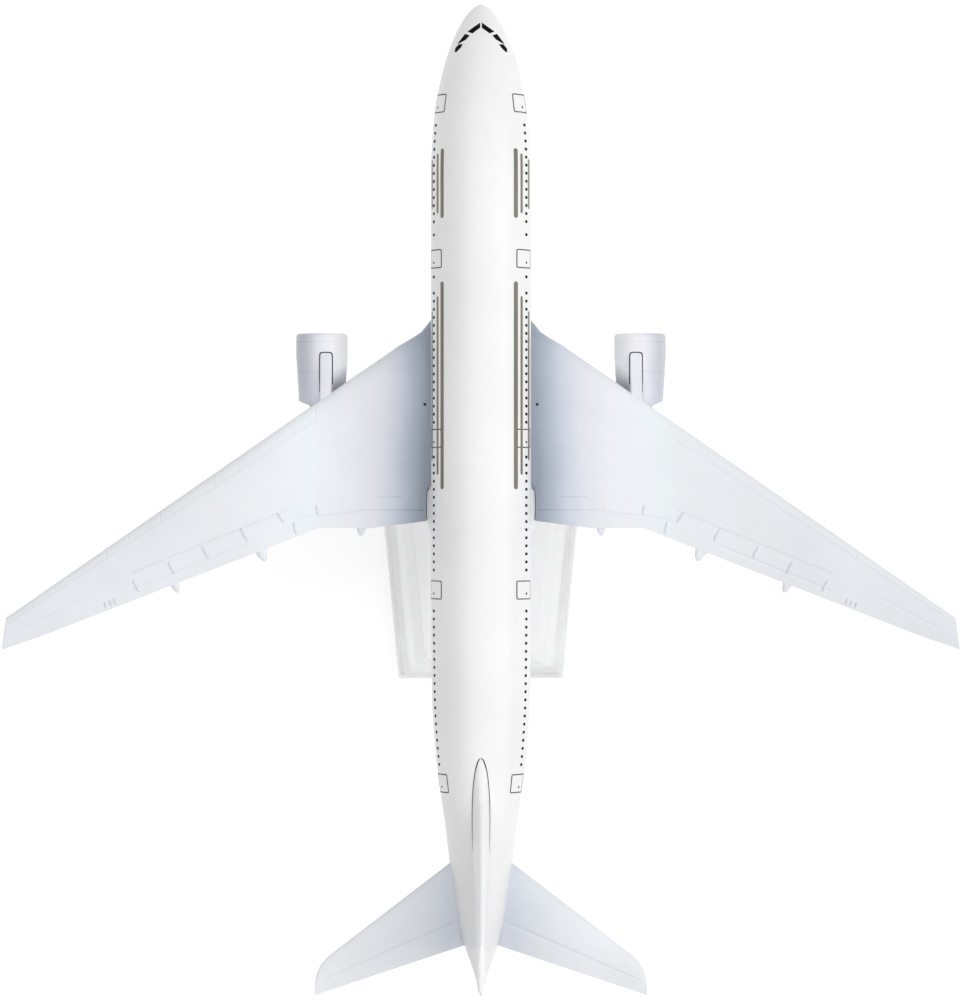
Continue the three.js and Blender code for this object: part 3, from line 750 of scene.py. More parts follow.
def chord_places(chord, grooves, steps):
    """Places along the chord, as lengths from the leading edge, always the same number between grooves."""
    half = GROOVE["half"]
    edges = [0, *grooves, chord]
    places = []
    for i, (low, high) in enumerate(zip(edges, edges[1:])):
        a = low + (half if i else 0)
        b = high - (half if i < len(grooves) else 0)
        count = steps[i]
        for k in range(count + 1):
            t = k / count
            t = 1 - math.cos(t * math.pi / 2) if i == 0 else t
            places.append((a + (b - a) * t, None, 0))
        if i < len(grooves):
            places += [(high + side * half, i, share) for side, share in GROOVE_STEPS]
    return places


def half_section(shape, x, cuts, steps, masks):
    """From the leading edge back: place, its share of the chord, half thickness and depth of groove."""
    chord = shape["trailing"](x) - shape["leading"](x)
    out = []
    for place, groove, share in chord_places(chord, cuts, steps):
        c = min(max(place / chord, 0), 1)
        half = swelling(c) * shape["thickness"](x) + shape["edge"](x) * c
        mask = masks[groove](x) if groove is not None else 0
        out.append((place, c, half, GROOVE["depth"] * share * mask))
    return out


def lifting_ring(shape, x, grooves, steps, masks, cross, x_of=None):
    """One section: over the top from the trailing edge to the leading edge, and back underneath."""
    front, height = shape["leading"](x), shape["height"](x)
    chord = shape["trailing"](x) - front
    wanted = [g(x) - front if g(x) > front else 0.3 * chord for g in grooves]
    cuts = sorted(min(max(place, 0.12 * chord), 0.96 * chord) for place in wanted)
    upper, under = [], []
    for place, c, half, depth in half_section(shape, x, cuts, steps, masks):
        depth = max(depth, GROOVE["depth"] * cross(x, place, chord))
        at = x_of(x, c) if x_of else x
        upper.append((at, front + place, height + max(half - depth, 0.3 * half)))
        under.append((at, front + place, height - half))
    return upper[::-1] + under[1:]


def between(low, high, fade=0.12):
    """1 from low to high, 0 outside, with short slopes."""
    return lambda x: smooth_step(x, low - fade, low) * (1 - smooth_step(x, high, high + fade))


def raised(ring_z):
    return [(x, y, AXIS_Z + z) for x, y, z in ring_z]


SLAT_OFFSET = along([(8, 3.4), (26.9, 2.7), (43.3, 2.25), (52, 1.85), (76.4, 1.15), (77.3, 1.1)])
FLAP_OFFSET = along([(8, 5.1), (18, 5.1), (30, 5.0), (57, 4.6), (77.3, 1.9)])
INNER_FLAP_Y = -0.2
SPLIT_Y = along(
    [(8, 1.94), (19, 1.94), (22, 2.5), (27.4, 2.9), (30, 3.3), (36, 6.7), (57, 15.2), (77.3, 24.1)]
)
SLAT_GAPS = [26.9, 43.3, 51.9, 57.0, 60.6, 65.5, 68.8]
WING_GROOVES = [
    lambda x: WING["leading"](x) + SLAT_OFFSET(x),
    lambda x: INNER_FLAP_Y if x < 18 else WING["trailing"](x) - FLAP_OFFSET(x),
    SPLIT_Y,
]
flap_inner, flap_outer = between(13.1, 16.9), between(31.5, 56.5)
split_inner, split_outer = between(9.3, 30), between(38.5, 56.5)
aileron = between(64.5, 73.5)
WING_MASKS = [
    lambda x: 0.75 * between(26.9, 76.2)(x),
    lambda x: max(flap_inner(x), flap_outer(x), 0.5 * aileron(x)),
    lambda x: max(split_inner(x), 0.45 * split_outer(x)),
]
NOTCH = {"x": 8.86, "y": -1.3, "rear": along([(7.4, -1.9), (8.34, -1.9), (8.6, -1.45), (8.86, -0.6)])}


def slat_cross(x, place, chord):
    """Short cuts across the slat, between the leading edge and the slat's line."""
    near = max(math.exp(-(((x - gap) / 0.09) ** 2)) for gap in SLAT_GAPS)
    return near * (0.55 if 0.25 < place < SLAT_OFFSET(x) else 0)


def wing_stations():
    marks = [8.2, 9.7, 11.05, 13.1, 18.1, 26.3, 76.4]
    even = list(np.linspace(NOTCH["x"] + 0.1, 76.3, 110))
    ends = [13.1, 16.9, 31.5, 56.5, 9.3, 30, 38.5, 64.5, 73.5, 76.2]
    near_ends = [e + d for e in ends for d in (-0.14, -0.07, 0, 0.07, 0.14)]
    near_gaps = [g + d for g in SLAT_GAPS for d in (-0.2, -0.1, 0, 0.1, 0.2)]
    stations = sorted(m for m in marks + even + near_ends + near_gaps if NOTCH["x"] < m <= 76.4)
    return [s for i, s in enumerate(stations) if i == 0 or s - stations[i - 1] > 0.02]


def tip_slant(x, c):
    return x + 0.7 * c * smooth_step(x, 70, 76.4)


def wing_panel():
    """The wing as one loft. Its root ends in a notch that stands clear of the belly fairing."""
    steps = (9, 26, 6, 5)

    def ring(x, clip=False):
        points = lifting_ring(WING, x, WING_GROOVES, steps, WING_MASKS, slat_cross, tip_slant)
        if clip:
            points = [(px, min(py, NOTCH["rear"](x)), pz) for px, py, pz in points]
        return raised(points)

    root = [ring(x, clip=True) for x in (7.4, 7.8, 8.2, 8.34, 8.45, 8.6, 8.75, NOTCH["x"])]
    outer = [ring(x) for x in [NOTCH["x"] + 0.004, *wing_stations()]]
    tip = ring(76.4)
    centre = np.mean(np.array(tip), 0)
    cap = [tuple(p + np.array([0.18, 0, 0]) + 0.25 * (centre - p) * [0, 0, 1]) for p in np.array(tip)]
    return loft(root + outer + [cap])


CANOE = {"long": 4.6, "deep": 0.7, "tips": [(19.5, 6.2, 1.02), (35, 10.3, 1.12), (49, 15.4, 0.95)]}


def trailing_sweep(x):
    return math.atan(WING["trailing"](x + 0.5) - WING["trailing"](x - 0.5))


def canoe(tip):
    """A flap track fairing: a pointed drop, square to the trailing edge."""
    x, y, rx = tip
    sweep = trailing_sweep(x)
    across = np.array([math.cos(sweep), math.sin(sweep)])
    ahead = np.array([-math.sin(sweep), math.cos(sweep)])
    centre = np.array([x, y]) - CANOE["long"] * ahead
    middle = AXIS_Z + WING["height"](centre[0]) - 0.5
    rings = []
    for i in range(29):
        t = -1 + 2 * (i + 0.001) / 28.01
        width = (1 - abs(t) ** 2.6) ** 0.55
        spine = centre + t * CANOE["long"] * ahead
        wide, deep = rx * width, CANOE["deep"] * width
        rings.append([(*(spine + wide * c * across), middle + deep * s) for c, s in circle(24)])
    return loft(rings)


# Raised marks on the upper wing, from front end to rear end.
RIBS = [
    ((56.2, 13.1), (55.2, 15.2)),
    ((50.5, 10.2), (49.5, 12.4)),
    ((45.1, 7.7), (44.0, 9.8)),
    ((38.9, 4.85), (37.7, 7.05)),
    ((32.9, 2.4), (31.8, 4.1)),
    ((30.3, 3.8), (29.9, 6.0)),
    ((26.6, 1.1), (26.35, 2.75)),
    ((59.3, 16.2), (59.0, 17.2)),
    ((60.0, 16.5), (59.7, 17.5)),
    ((60.8, 16.8), (60.5, 17.8)),
]
RIB_WIDE = 0.5
RIB_TALL = 0.26


def wing_top(x, y):
    """Height of the wing's upper surface over the fuselage axis."""
    front, rear = WING["leading"](x), WING["trailing"](x)
    c = min(max((y - front) / (rear - front), 0), 1)
    return WING["height"](x) + swelling(c) * WING["thickness"](x) + EDGE * c


def rib(start, end):
    """A low rounded bar on the upper wing."""
    start, end = np.array(start), np.array(end)
    length = np.linalg.norm(end - start)
    ahead = (end - start) / length
    across = np.array([-ahead[1], ahead[0]])
    wide = RIB_WIDE / 2 if length > 1.5 else RIB_WIDE / 3
    rings = []
    for t in np.linspace(-1, 1, 15):
        fade = max(1 - abs(t) ** 5, 0.02)
        ring = []
        for c, s in circle(12):
            x, y = (start + end) / 2 + (end - start) * t / 2 + wide * fade * c * across
            ring.append((x, y, AXIS_Z + wing_top(x, y) + RIB_TALL * fade * s))
        rings.append(ring)
    return loft(rings)


def tongue(x0, x1, y0, y1, z0, z1):
    rings = [[(x, y0, z0), (x, y1, z0), (x, y1, z1), (x, y0, z1)] for x in (x0, x1)]
    return loft([raised(r) for r in rings])


def wings():
    part = gather(
        [
            wing_panel(),
            tongue(0.4, 8.2, -20, -7, -5.6, -3.6),
            *[canoe(tip) for tip in CANOE["tips"]],
            *[rib(*values) for values in RIBS],
        ]
    )
    piece("left_wing", part, WING_PAINT, "wing_paint", ["wing_left"], angle=40)
    piece("right_wing", mirror_x(part), WING_PAINT, "wing_paint", ["wing_right"], angle=40)


def root_gap_shadow():
    """A dark strip down the inner edge of the wing's root notch: painted shadow in the gap beside the belly
    fairing.
    """
    path = through([(-1.75, 8.42), (-1.35, 8.62), (-0.6, 8.78), (0.6, 8.8), (2.5, 8.8), (3.6, 8.74)])
    rings = []
    for y in np.linspace(-1.7, 3.6, 24):
        x, top = path(y), wing_top(8.9, y) - 0.08
        low = min(WING["height"](8.9) - 0.3, top - 0.2)
        rings.append([(x - 0.06, y, low), (x + 0.08, y, low), (x + 0.08, y, top), (x - 0.06, y, top)])
    part = loft([raised(ring) for ring in rings])
    piece("wing_root_gap_shadows", gather([part, mirror_x(part)]), LINE, "window_paint")


def elevator_line(x):
    return 68.1 + (x - 3.6) * (77.8 - 68.1) / (26.3 - 3.6)


def tailplane():
    stations = [2.2, 2.8, *np.linspace(3.4, 24.3, 40), *np.linspace(24.5, 26.7, 14)]
    mask = [lambda x: 0.6 * between(4.2, 25.2)(x)]
    none = lambda x, place, chord: 0
    rings = [raised(lifting_ring(TAIL, x, [elevator_line], (22, 10), mask, none)) for x in stations]
    return gather([loft(rings), tongue(0.4, 4, 62, 68, 2.8, 4)])


def tailplanes():
    part = tailplane()
    piece("left_tailplane", part, TAIL_PAINT, "wing_paint", ["tailplane_left"], angle=40)
    piece("right_tailplane", mirror_x(part), TAIL_PAINT, "wing_paint", ["tailplane_right"], angle=40)


RUDDER = 0.68  # share of the fin's chord ahead of its hinge line


def fin_ring(z):
    """A section of the fin, with the rudder's hinge line cut into both faces."""
    front = FIN["leading"](z)
    hinge = RUDDER * (FIN["trailing"](z) - front)
    points = half_section(FIN, z, [hinge], (24, 10), [between(10.5, 29.5)])
    faces = [(max(half - depth, 0.3 * half), front + place) for place, c, half, depth in points]
    right = [(half, y, AXIS_Z + z) for half, y in reversed(faces)]
    left = [(-half, y, AXIS_Z + z) for half, y in faces[1:]]
    return right + left


def fin():
    heights = [5.5, 7, 7.6, *np.linspace(8, 12, 25), *np.linspace(12.3, 30.2, 50), 30.35, 30.5, 30.6]
    rings = [fin_ring(z) for z in heights]
    top = np.array(rings[-1])
    middle = top.mean(0)
    for i, share in ((-1, 0.45), (-2, 0.8), (-3, 0.95)):
        ring = np.array(rings[i])
        ring[:, 0] = middle[0] + (ring[:, 0] - middle[0]) * share
        rings[i] = [tuple(p) for p in ring]
    tab = [raised([(-0.6, 54, z), (0.6, 54, z), (0.6, 66, z), (-0.6, 66, z)]) for z in (4.2, 7.5)]
    part = gather([loft(rings), loft(tab)])
    piece("tail_fin", part, WHITE, "white_paint", ["fin"], angle=40)


SEAM_Y = (41.7, 71.5)


def fin_seam():
    """The dark joint round the fin's foot, laid on the crown of the fuselage."""
    outline = []
    for side in (1, -1):
        for i in range(61):
            t = (i / 60 if side > 0 else 1 - i / 60) ** 2
            y = SEAM_Y[0] + (SEAM_Y[1] - SEAM_Y[0]) * t
            c = min((y - SEAM_Y[0]) / 29.9, 1)
            outline.append((side, y, swelling(c) * 2.75 + EDGE * c))
    outer = [(side * (half + 0.06), y) for side, y, half in outline]
    inner = [(side * max(half - 0.15, 0.02), y) for side, y, half in outline]
    part = frame_strip(outer, inner, on_top, 0.03, SUNK)
    piece("fin_seam", part, LINE, "window_paint")


# ---- Belly fairing ----

BELLY_WIDTH = through(
    [(-40, 3), (-34, 6.6), (-27, 8.3), (-22, 8.65), (3, 8.65), (8, 7.7), (15, 6.2), (22, 3)]
)
BELLY_FLOOR = through([(-40, -8), (-34, -8.7), (-27, -9), (7, -9), (15, -8.6), (22, -8)])
BELLY_MIDDLE = -4.6
BELLY_SQUARENESS = 2.6


def belly_ring(y):
    deep, wide = BELLY_MIDDLE - BELLY_FLOOR(y), BELLY_WIDTH(y)
    power = 2 / BELLY_SQUARENESS
    ring = []
    for c, s in circle(96):
        x = wide * math.copysign(abs(c) ** power, c)
        z = BELLY_MIDDLE + deep * math.copysign(abs(s) ** power, s)
        beside_wing = y < NOTCH["y"] and abs(x) > 6
        ring.append((x, y, AXIS_Z + (min(z, -4.5) if beside_wing else z)))
    return ring


def belly():
    stations = [*np.linspace(-40, NOTCH["y"] - 0.01, 60), *np.linspace(NOTCH["y"] + 0.01, 22, 50)]
    part = loft([belly_ring(y) for y in stations])
    piece("belly_fairing_skin", part, WHITE, "white_paint", ["belly_fairing"])


# ---- Engines ----

CORE = [(0.45, 6.1), (0.45, 4.3), (1.05, 4.3), (1.6, 5.2), (2.2, 7), (2.3, 9.5), (1.95, 12), (1.6, 15.3)]
CORE += [(1.45, 15.3), (1.4, 14.5), (1.05, 14.5), (0.8, 16)]
FAN = {"blades": 14, "root": 0.85, "tip": 3.38, "y": 3.2}
PYLON = {"x": 25.2, "half": 0.95, "front": -23.6, "side": -14, "rear": -3}
BARREL = through([(0.6, 4.2), (3.6, 4.2), (5, 4.1), (7.7, 3.95), (11, 3.75)])


def cowl_profile():
    """The cowl's wall with a smooth lip and fine joint lines round it."""
    lip = [(3.5, 0.62)]
    for i in range(1, 20):
        across = -math.cos(math.pi * i / 20)
        reach = 0.5 if across > 0 else 0.2
        lip.append((3.7 + reach * across, 0.62 - 0.62 * math.sin(math.pi * i / 20)))
    joints_at = (1.35, 6.2)
    stations = sorted([*np.linspace(0.75, 10.9, 50), *[j + d for j in joints_at for d in (-0.07, 0, 0.07)]])
    outside = []
    for d in stations:
        depth = 0.05 if any(abs(d - j) < 0.01 for j in joints_at) else 0
        outside.append((BARREL(d) - depth, d))
    tail = [(3.74, 11), (3.6, 11), (3.56, 10.9)]
    inside = [(3.6, 8), (3.6, 6), (3.6, 4), (3.6, 2.5), (3.55, 1.4)]
    profile = lip + outside + tail + inside
    return [*profile, profile[0]]


TAIL_SHELF = 1.6  # how far the cowl's rear edge runs on at the top


def cowl_skin(centre):
    """The turned cowl, with its rear edge drawn back towards the top."""
    points, faces = lathe(cowl_profile(), 112)
    out = []
    for x, y, z in points:
        reach = math.hypot(x, z)
        rise = 1 - abs(x) / reach if z > 0 else 0
        out.append((x, y + TAIL_SHELF * rise * smooth_step(y, 6.5, 11), z))
    return moved((out, faces), centre)


BLUNT = 0.45  # power that turns a round front into a blunt one


def squarer(share):
    return math.copysign(abs(share) ** BLUNT, share)


def pylon_nose(grow, count=20):
    """The round front of the pylon's plan."""
    half = PYLON["half"] + grow
    nose = []
    for i in range(count + 1):
        angle = math.pi + math.pi * i / count
        c, s = squarer(math.cos(angle)), squarer(math.sin(angle))
        nose.append((PYLON["x"] + half * c, PYLON["front"] - grow + half * (1 + s)))
    return nose


def pylon_outline(grow):
    """The pylon's plan: a round front, straight sides and a tapered tail."""
    x, side, rear = PYLON["x"], PYLON["side"], PYLON["rear"] + grow
    half, tip = PYLON["half"] + grow, 0.3 + grow
    return [*pylon_nose(grow), (x + half, side), (x + tip, rear), (x - tip, rear), (x - half, side)]


PYLON_TOP = along([(-23.6, -4.75), (-22.3, -4.3), (-18, -3.4), (-16, -3.2), (-8, -3.0), (-3, -4.1)])
PYLON_BOTTOM = along(
    [(-23.6, -5.05), (-18.02, -5.05), (-18, -6.3), (-12.5, -6.8), (-8, -5.6), (-3, -4.9)]
)


def pylon():
    """Walls between the plan's edge and its lower and upper lines, with a softened upper edge."""
    x, half = PYLON["x"], PYLON["half"]
    taper = along([(-23, half), (PYLON["side"], half), (PYLON["rear"], 0.3)])
    rings = []
    for y in [*np.linspace(-23.58, -22.7, 9), *np.linspace(-22.4, -18.03, 14), *np.linspace(-18, -3.05, 40)]:
        if y < PYLON["front"] + half:
            back = min((PYLON["front"] + half - y) / half, 0.9999)
            wide = half * (1 - back ** (2 / BLUNT)) ** (BLUNT / 2)
        else:
            wide = taper(y)
        low, high = PYLON_BOTTOM(y), PYLON_TOP(y)
        corner = min(0.25, 0.4 * wide, 0.4 * (high - low))
        right = [(wide, low), (wide, high - corner)]
        for angle in np.linspace(0, math.pi / 2, 6)[1:-1]:
            right.append((wide + corner * (math.cos(angle) - 1), high + corner * (math.sin(angle) - 1)))
        right.append((wide - corner, high))
        left = [(-u, v) for u, v in reversed(right)]
        rings.append([(x + u, y, AXIS_Z + v) for u, v in right + left])
    return loft(rings)


def cut_by(obj, part, name):
    """Takes a solid out of an object's mesh."""
    tool = mesh_object(name, *part)
    modifier = obj.modifiers.new("cut", "BOOLEAN")
    modifier.operation = "DIFFERENCE"
    modifier.solver = "EXACT"
    modifier.object = tool
    bpy.context.view_layer.update()
    evaluated = obj.evaluated_get(bpy.context.evaluated_depsgraph_get())
    made = bpy.data.meshes.new_from_object(evaluated)
    obj.modifiers.clear()
    obj.data = made
    bpy.data.objects.remove(tool)


def slot_round_pylon():
    """The space that the pylon and the gap round it take out of the cowl's top."""
    outline = pylon_outline(0.14)
    points = [(x, y, AXIS_Z + z) for z in (-5.2, -3) for x, y in outline]
    count = len(outline)
    faces = [(i, (i + 1) % count, (i + 1) % count + count, i + count) for i in range(count)]
    faces += [tuple(reversed(range(count))), tuple(range(count, 2 * count))]
    return points, faces


def on_cowl(x, y, offset):
    """A point over the cowl's upper side, from its plan position."""
    reach = BARREL(y - ENGINE_Y)
    across = (x - ENGINE_X) / reach
    up = math.sqrt(1 - across**2)
    return ENGINE_X + (reach + offset) * across, y, ENGINE_Z + (reach + offset) * up


def pylon_gap_shadow():
    """A dark strip round the front of the pylon's foot, as far as the wing: painted shadow in the gap round
    the pylon.
    """
    return frame_strip(gap_shadow_path(0.17), gap_shadow_path(-0.02), on_cowl, 0.015, 0.3, closed=False)


def gap_shadow_path(grow):
    nose = pylon_nose(grow)
    places = np.linspace(-17.2, nose[0][1] + 0.3, 8)
    return [*[(nose[0][0], y) for y in places], *nose, *[(nose[-1][0], y) for y in reversed(places)]]


def blade(angle):
    """A swept, twisted fan blade, thin at its tip."""
    rings = []
    for i in range(11):
        t = i / 10
        r = FAN["root"] + (FAN["tip"] - FAN["root"]) * t
        pitch = math.radians(28 + 30 * t)
        chord, thick = 1.35 + 0.25 * math.sin(math.pi * t), 0.13 - 0.06 * t
        lean = 0.22 * math.sin(math.pi * t) - 0.1 * t
        ring = []
        for u, v in ((-0.5, 0), (-0.25, 0.8), (0.1, 1), (0.5, 0), (0.1, -1), (-0.25, -0.8)):
            a, b = u * chord, v * thick / 2
            along_y = a * math.cos(pitch) - b * math.sin(pitch)
            across = a * math.sin(pitch) + b * math.cos(pitch) + lean
            ring.append((across, FAN["y"] + along_y, r))
        rings.append(ring)
    return turned(loft(rings), angle)


def fan(centre):
    hub = [(TINY, 1.2), (0.22, 1.27), (0.45, 1.47), (0.72, 1.85), (0.92, 2.3), (1.02, 2.75), (1.05, 3.3)]
    hub += [(1.05, 4.0), (1.0, 4.1), (0.45, 4.1), (0.45, 2.6), (TINY, 2.6)]
    blades = [blade(2 * math.pi * i / FAN["blades"]) for i in range(FAN["blades"])]
    return moved(gather([lathe(hub, 48), *blades]), centre)


def guide_vane(angle):
    """One of the struts between the engine's core and its cowl."""
    rings = []
    for r in np.linspace(1.6, 3.55, 5):
        outline = [(0.0, 7.15), (0.13, 7.45), (0.15, 7.8), (0.0, 8.25), (-0.15, 7.8), (-0.13, 7.45)]
        rings.append([(u, v, r) for u, v in outline])
    return turned(loft(rings), angle)


def core(centre):
    smooth = rounded([(TINY, 6.1), *CORE, (0.45, 17.3), (TINY, 18.2)], 0.25)
    vanes = [guide_vane(2 * math.pi * (i + 0.5) / 16) for i in range(1, 15)]
    return moved(gather([lathe(smooth, 64), *vanes]), centre)


def engines():
    for side, sign in (("left", 1), ("right", -1)):
        turn = (lambda part: part) if sign > 0 else mirror_x
        centre = np.array([ENGINE_X, ENGINE_Y, ENGINE_Z])
        cowl = mesh_object(side + "_engine_cowl", *turn(cowl_skin(centre)))
        cut_by(cowl, turn(slot_round_pylon()), "pylon_space")
        finish(cowl, COWL_PAINT, "cowl_paint", ["engine_cowl_" + side], angle=30)
        piece(side + "_pylon", turn(pylon()), COWL_PAINT, "cowl_paint", ["pylon_" + side])
        part = turn(core(centre))
        piece(side + "_engine_core", part, CORE_METAL, "core_paint", ["engine_core_" + side])
        # a dark strip of painted shadow in the gap round the pylon
        piece(side + "_pylon_gap_shadow", turn(pylon_gap_shadow()), LINE, "window_paint")
        fan_centre = centre * [sign, 1, 1]
        piece(side + "_fan", fan(fan_centre), FAN_PLASTIC, "fan_paint", ["fan_" + side], "fan_" + side)


# ---- Stand ----

BASE_LOW, BASE_HIGH = box_mm("stand_base")
BASE = {"wide_front": 19.2, "wide_rear": 14.2, "corner": 0.5, "rim": 2.6, "wall": 2.0, "top_wall": 1.2}
PANEL = {"side": 3.3, "end": 2.4, "slope_side": 1.7, "slope_end": 0.9}


def base_ring(z, side, end, steps=8):
    """The base's tapered outline with round corners, drawn in by two insets."""
    front, rear = BASE_LOW[1], BASE_HIGH[1]
    share = (BASE["wide_rear"] - BASE["wide_front"]) / (rear - front)
    radius = max(BASE["corner"] - end, 0.4)
    y0, y1 = front + end + radius, rear - end - radius
    half = lambda y: BASE["wide_front"] + (y - front) * share - side
    x0, x1 = half(y0) - radius, half(y1) - radius
    corners = round_corners([(x1, y1), (-x1, y1), (-x0, y0), (x0, y0)], radius, steps)
    return [(x, y, z) for x, y in corners]


def stand_base():
    """A moulded shell: the outside from foot to top, then the inside back down to the foot."""
    top, rim, wall, roof = BASE_HIGH[2], BASE["rim"], BASE["wall"], BASE["top_wall"]
    side, end = PANEL["side"], PANEL["end"]
    in_side, in_end = side + PANEL["slope_side"], end + PANEL["slope_end"]
    outside = [(0, 0.3, 0.3), (0.3, 0, 0), (rim - 0.6, 0, 0), (rim - 0.25, 0.85, 0.85), (rim, 0.95, 0.95)]
    outside += [(rim, side, end), (top, in_side, in_end), (top, in_side + 4, in_end + 4)]
    inside = [(0, wall, wall), (rim - roof, wall, wall), (rim - roof, side + roof, end + roof)]
    inside += [(top - roof, in_side + roof, in_end + roof), (top - roof, in_side + 5, in_end + 5)]
    levels = [*reversed(rounded(outside, 0.2)), *rounded(inside, 0.2)]
    part = loft([base_ring(*level) for level in levels])
    piece("clear_stand_base", part, CLEAR, "clear_plastic", ["stand_base"], "stand")


ARM_TOP = box_mm("stand_arm")[1][2]
ARM_HEIGHTS = (5.5, 6.6, 9, 16, 30, 42, 49, 51.6)
ARM_CENTRE = through(zip(ARM_HEIGHTS, (9, 9, 8.6, 7.2, 4.2, 1.6, 0.3, 0)))
ARM_WIDE = through(zip(ARM_HEIGHTS, (5, 4.6, 3.2, 2.4, 2.2, 2.5, 3, 3.2)))
ARM_LONG = through(zip(ARM_HEIGHTS, (11.5, 11, 9.4, 7.6, 6.2, 5.2, 4.2, 3.6)))


def stand_arm():
    """A blade-like upright that leans forward, flared at its foot."""
    foot, head = BASE_HIGH[2] + 0.1, ARM_TOP
    rings = []
    heights = [foot, foot + 0.12, *np.linspace(foot + 0.35, foot + 5, 22)]
    heights += [*np.linspace(foot + 5.6, head - 0.3, 60), head - 0.1, head]
    for z in heights:
        inset = {foot: 0.12, head: 0.25, head - 0.1: 0.08}.get(z, 0)
        wide, long, middle = ARM_WIDE(z) - inset, ARM_LONG(z) - inset, ARM_CENTRE(z)
        rings.append([(wide * c, middle + long * s, z) for c, s in circle(72)])
    arm = mesh_object("clear_stand_arm", *loft(rings))
    pin_low, pin_high = box_mm("pivot_pin")
    radius = (pin_high[0] - pin_low[0]) / 2
    bore = [(TINY, pin_low[2] - 0.1), (radius + 0.1, pin_low[2] - 0.1), (radius + 0.1, 60), (TINY, 60)]
    cut_by(arm, lathe(bore, 48, axis="z"), "pin_bore")
    finish(arm, CLEAR, "clear_plastic", ["stand_arm"], "stand", 40)


def pin_and_washer():
    low, high = box_mm("pivot_pin")
    radius = (high[0] - low[0]) / 2
    profile = [(TINY, low[2]), (radius - 0.3, low[2]), (radius, low[2] + 0.3), (radius, high[2] - 0.5)]
    profile += [(radius - 0.45, high[2]), (TINY, high[2])]
    pin = lathe(rounded(profile, 0.2), 64, axis="z")
    piece("swivel_pin", pin, STEEL, "steel", ["pivot_pin"], "pivot")
    low, high = box_mm("pivot_washer")
    outer, inner = high[0], radius + 0.1
    section_points = [(inner, low[2]), (outer - 0.1, low[2]), (outer, low[2] + 0.1), (outer, high[2] - 0.1)]
    section_points += [(outer - 0.1, high[2]), (inner, high[2]), (inner, low[2])]
    washer = lathe(section_points, 72, axis="z")
    piece("swivel_washer", washer, CLEAR, "clear_plastic", ["pivot_washer"], "pivot")


def socket():
    """The flanged metal bush in the belly."""
    low, high = box_mm("stand_socket")
    flange, body, bore = high[0], 2.4, 1.6
    profile = [(bore, low[2] + 0.25), (bore + 0.25, low[2]), (flange - 0.12, low[2]), (flange, low[2] + 0.12)]
    profile += [(flange, low[2] + 0.4), (body, low[2] + 0.4), (body, high[2] - 0.15), (body - 0.15, high[2])]
    profile += [(TINY, high[2])]
    inside = [(TINY, high[2] - 0.5), (bore, high[2] - 0.5)]
    part = lathe([*inside, *profile], 72, axis="z")
    piece("belly_socket", part, STEEL, "steel", ["stand_socket"])


# ---- Fasteners ----


def round_node(node, axis):
    """Centre of a round CAD node, its two ends along an axis, and its radius."""
    low, high = box_mm(node)
    return (low + high) / 2, low[axis], high[axis], (high[0] - low[0]) / 2


def screw(node):
    """A pan-head screw with a cross recess and a thread, where the CAD's plain one is."""
    centre, foot, tip, head = round_node(node, 2)
    shank, thick = 0.4, 0.6
    profile = [(TINY, foot), (0.55, foot + 0.02), (0.85, foot + 0.12), (head, foot + 0.34)]
    profile += [(head, foot + thick), (shank, foot + thick)]
    z = foot + thick + 0.5
    while z < tip - 0.7:
        profile += [(shank, z), (shank + 0.04, z + 0.12), (shank, z + 0.24), (shank - 0.12, z + 0.3)]
        z += 0.42
    profile += [(shank - 0.1, tip - 0.5), (TINY, tip)]
    obj = mesh_object(node + "_turned", *lathe(profile, 32, (centre[0], centre[1], 0), "z"))
    for angle in (0.4, 0.4 + math.pi / 2):
        c, s = math.cos(angle), math.sin(angle)
        rings = []
        for z, long, wide in ((foot - 0.1, 0.62, 0.13), (foot + 0.28, 0.4, 0.09)):
            corners = [(long, wide), (-long, wide), (-long, -wide), (long, -wide)]
            rings.append([(centre[0] + u * c - v * s, centre[1] + u * s + v * c, z) for u, v in corners])
        cut_by(obj, loft(rings), "cross")
    finish(obj, STEEL, "steel", [node], "stand" if node == "arm_screw" else "aircraft", 30)


def wing_pins():
    for side in ("left", "right"):
        centre, foot, _, radius = round_node("wing_pin_" + side, 2)
        radius += 0.02
        top = AXIS_Z + wing_top(abs(centre[0]), centre[1]) + 0.04
        profile = [(TINY, foot), (radius, foot), (radius, top - 0.08), (radius - 0.08, top), (TINY, top)]
        part = lathe(profile, 24, (centre[0], centre[1], 0), "z")
        piece(side + "_wing_pin", part, DARK_STEEL, "steel", ["wing_pin_" + side])


def shafts():
    for side in ("left", "right"):
        centre, front, rear, radius = round_node("fan_shaft_" + side, 1)
        edge = 0.06
        profile = [(TINY, front), (radius - edge, front), (radius, front + edge), (radius, rear - edge)]
        profile += [(radius - edge, rear), (TINY, rear)]
        part = lathe(profile, 32, (centre[0], 0, centre[2]))
        piece(side + "_fan_shaft", part, STEEL, "steel", ["fan_shaft_" + side])


# ---- Studio ----

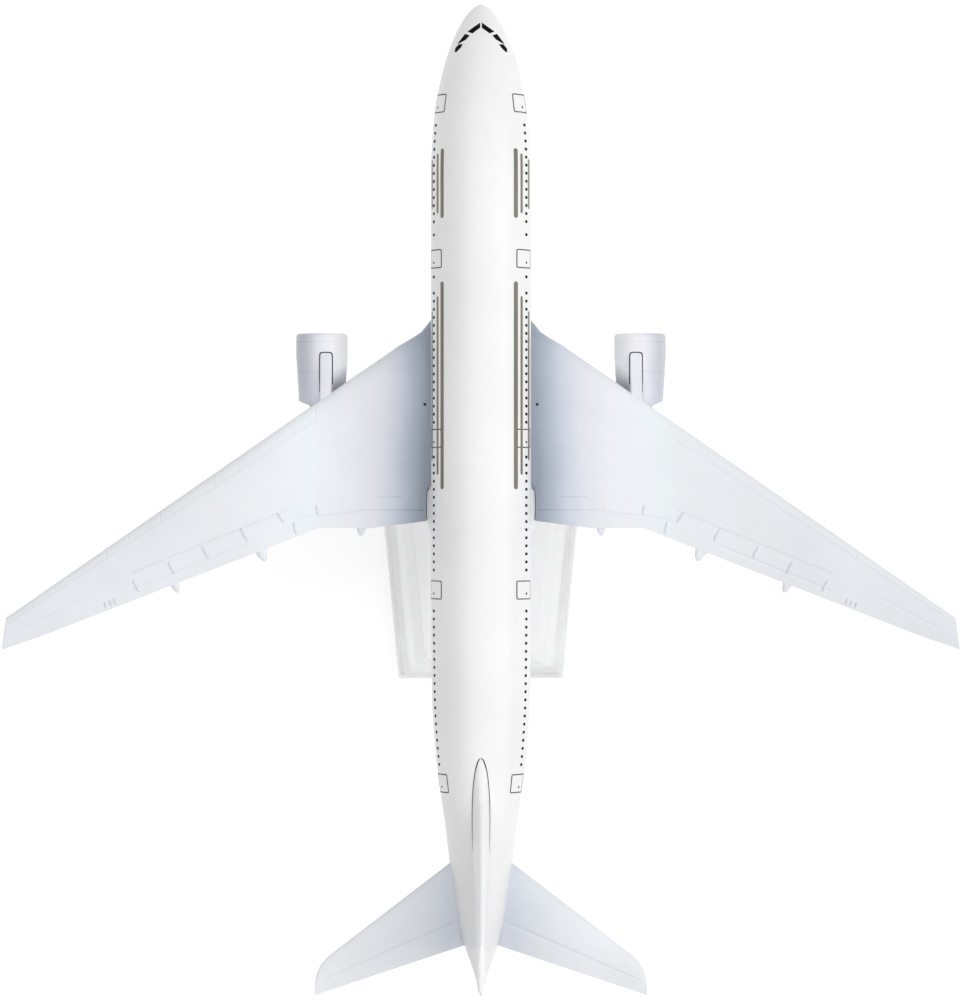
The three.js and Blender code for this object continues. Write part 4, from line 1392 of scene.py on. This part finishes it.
FLOOR_SIDE = 6.0  # metres, as are the lamps' places and sizes
FLOOR_GLOW = 0.3
SKY = 0.32
LAMPS = {
    "key": {"spot": (-0.85, -0.1, 0.68), "size": 0.7, "power": 3.6},
    "top": {"spot": (0.0, 0.0, 1.6), "size": 2.2, "power": 22.4},
}


def studio():
    bpy.ops.mesh.primitive_plane_add(size=FLOOR_SIDE, location=(0, 0, 0))
    floor = bpy.context.object
    floor.name = "floor"
    n = Nodes("floor", Roughness=0.9, Emission_Strength=FLOOR_GLOW)
    n.shader.inputs["Emission Color"].default_value = (1, 1, 1, 1)
    n.colour(n.ramp(n.noise(6, 3), (0.3, (0.83, 0.83, 0.83)), (0.7, (0.86, 0.86, 0.86))))
    floor.data.materials.append(n.material)

    world = bpy.data.worlds.new("studio")
    bpy.context.scene.world = world
    world.use_nodes = True
    background = world.node_tree.nodes["Background"]
    background.inputs["Color"].default_value = (1, 1, 1, 1)
    background.inputs["Strength"].default_value = SKY

    for name, lamp in LAMPS.items():
        data = bpy.data.lights.new(name, "AREA")
        data.size = lamp["size"]
        data.energy = lamp["power"]
        light = bpy.data.objects.new(name, data)
        bpy.context.scene.collection.objects.link(light)
        light.location = lamp["spot"]
        aim = Vector((0, 0, AXIS_Z * MM)) - Vector(lamp["spot"])
        light.rotation_euler = aim.to_track_quat("-Z", "Y").to_euler()


def camera():
    """Straight over the aircraft, with its nose at the top of the picture."""
    distance = 0.9
    view = 161.0 * MM  # what the long side of the frame takes in, at the fuselage axis
    data = bpy.data.cameras.new("camera")
    data.sensor_width = 36
    data.lens = 36 * distance / view
    cam = bpy.data.objects.new("camera", data)
    bpy.context.scene.collection.objects.link(cam)
    cam.location = (0, 0, AXIS_Z * MM + distance)
    cam.rotation_euler = (0, 0, math.pi)
    bpy.context.scene.camera = cam


camera()
studio()
fuselage()
cockpit_panes()
cabin_windows()
door_outlines()
livery_bars()
wings()
root_gap_shadow()
tailplanes()
fin()
fin_seam()
belly()
engines()
stand_base()
stand_arm()
pin_and_washer()
socket()
wing_pins()
shafts()
for fastener in sorted(name for name in frame["nodes"] if "screw" in name):
    screw(fastener)

bpy.context.scene.view_settings.view_transform = "Standard"
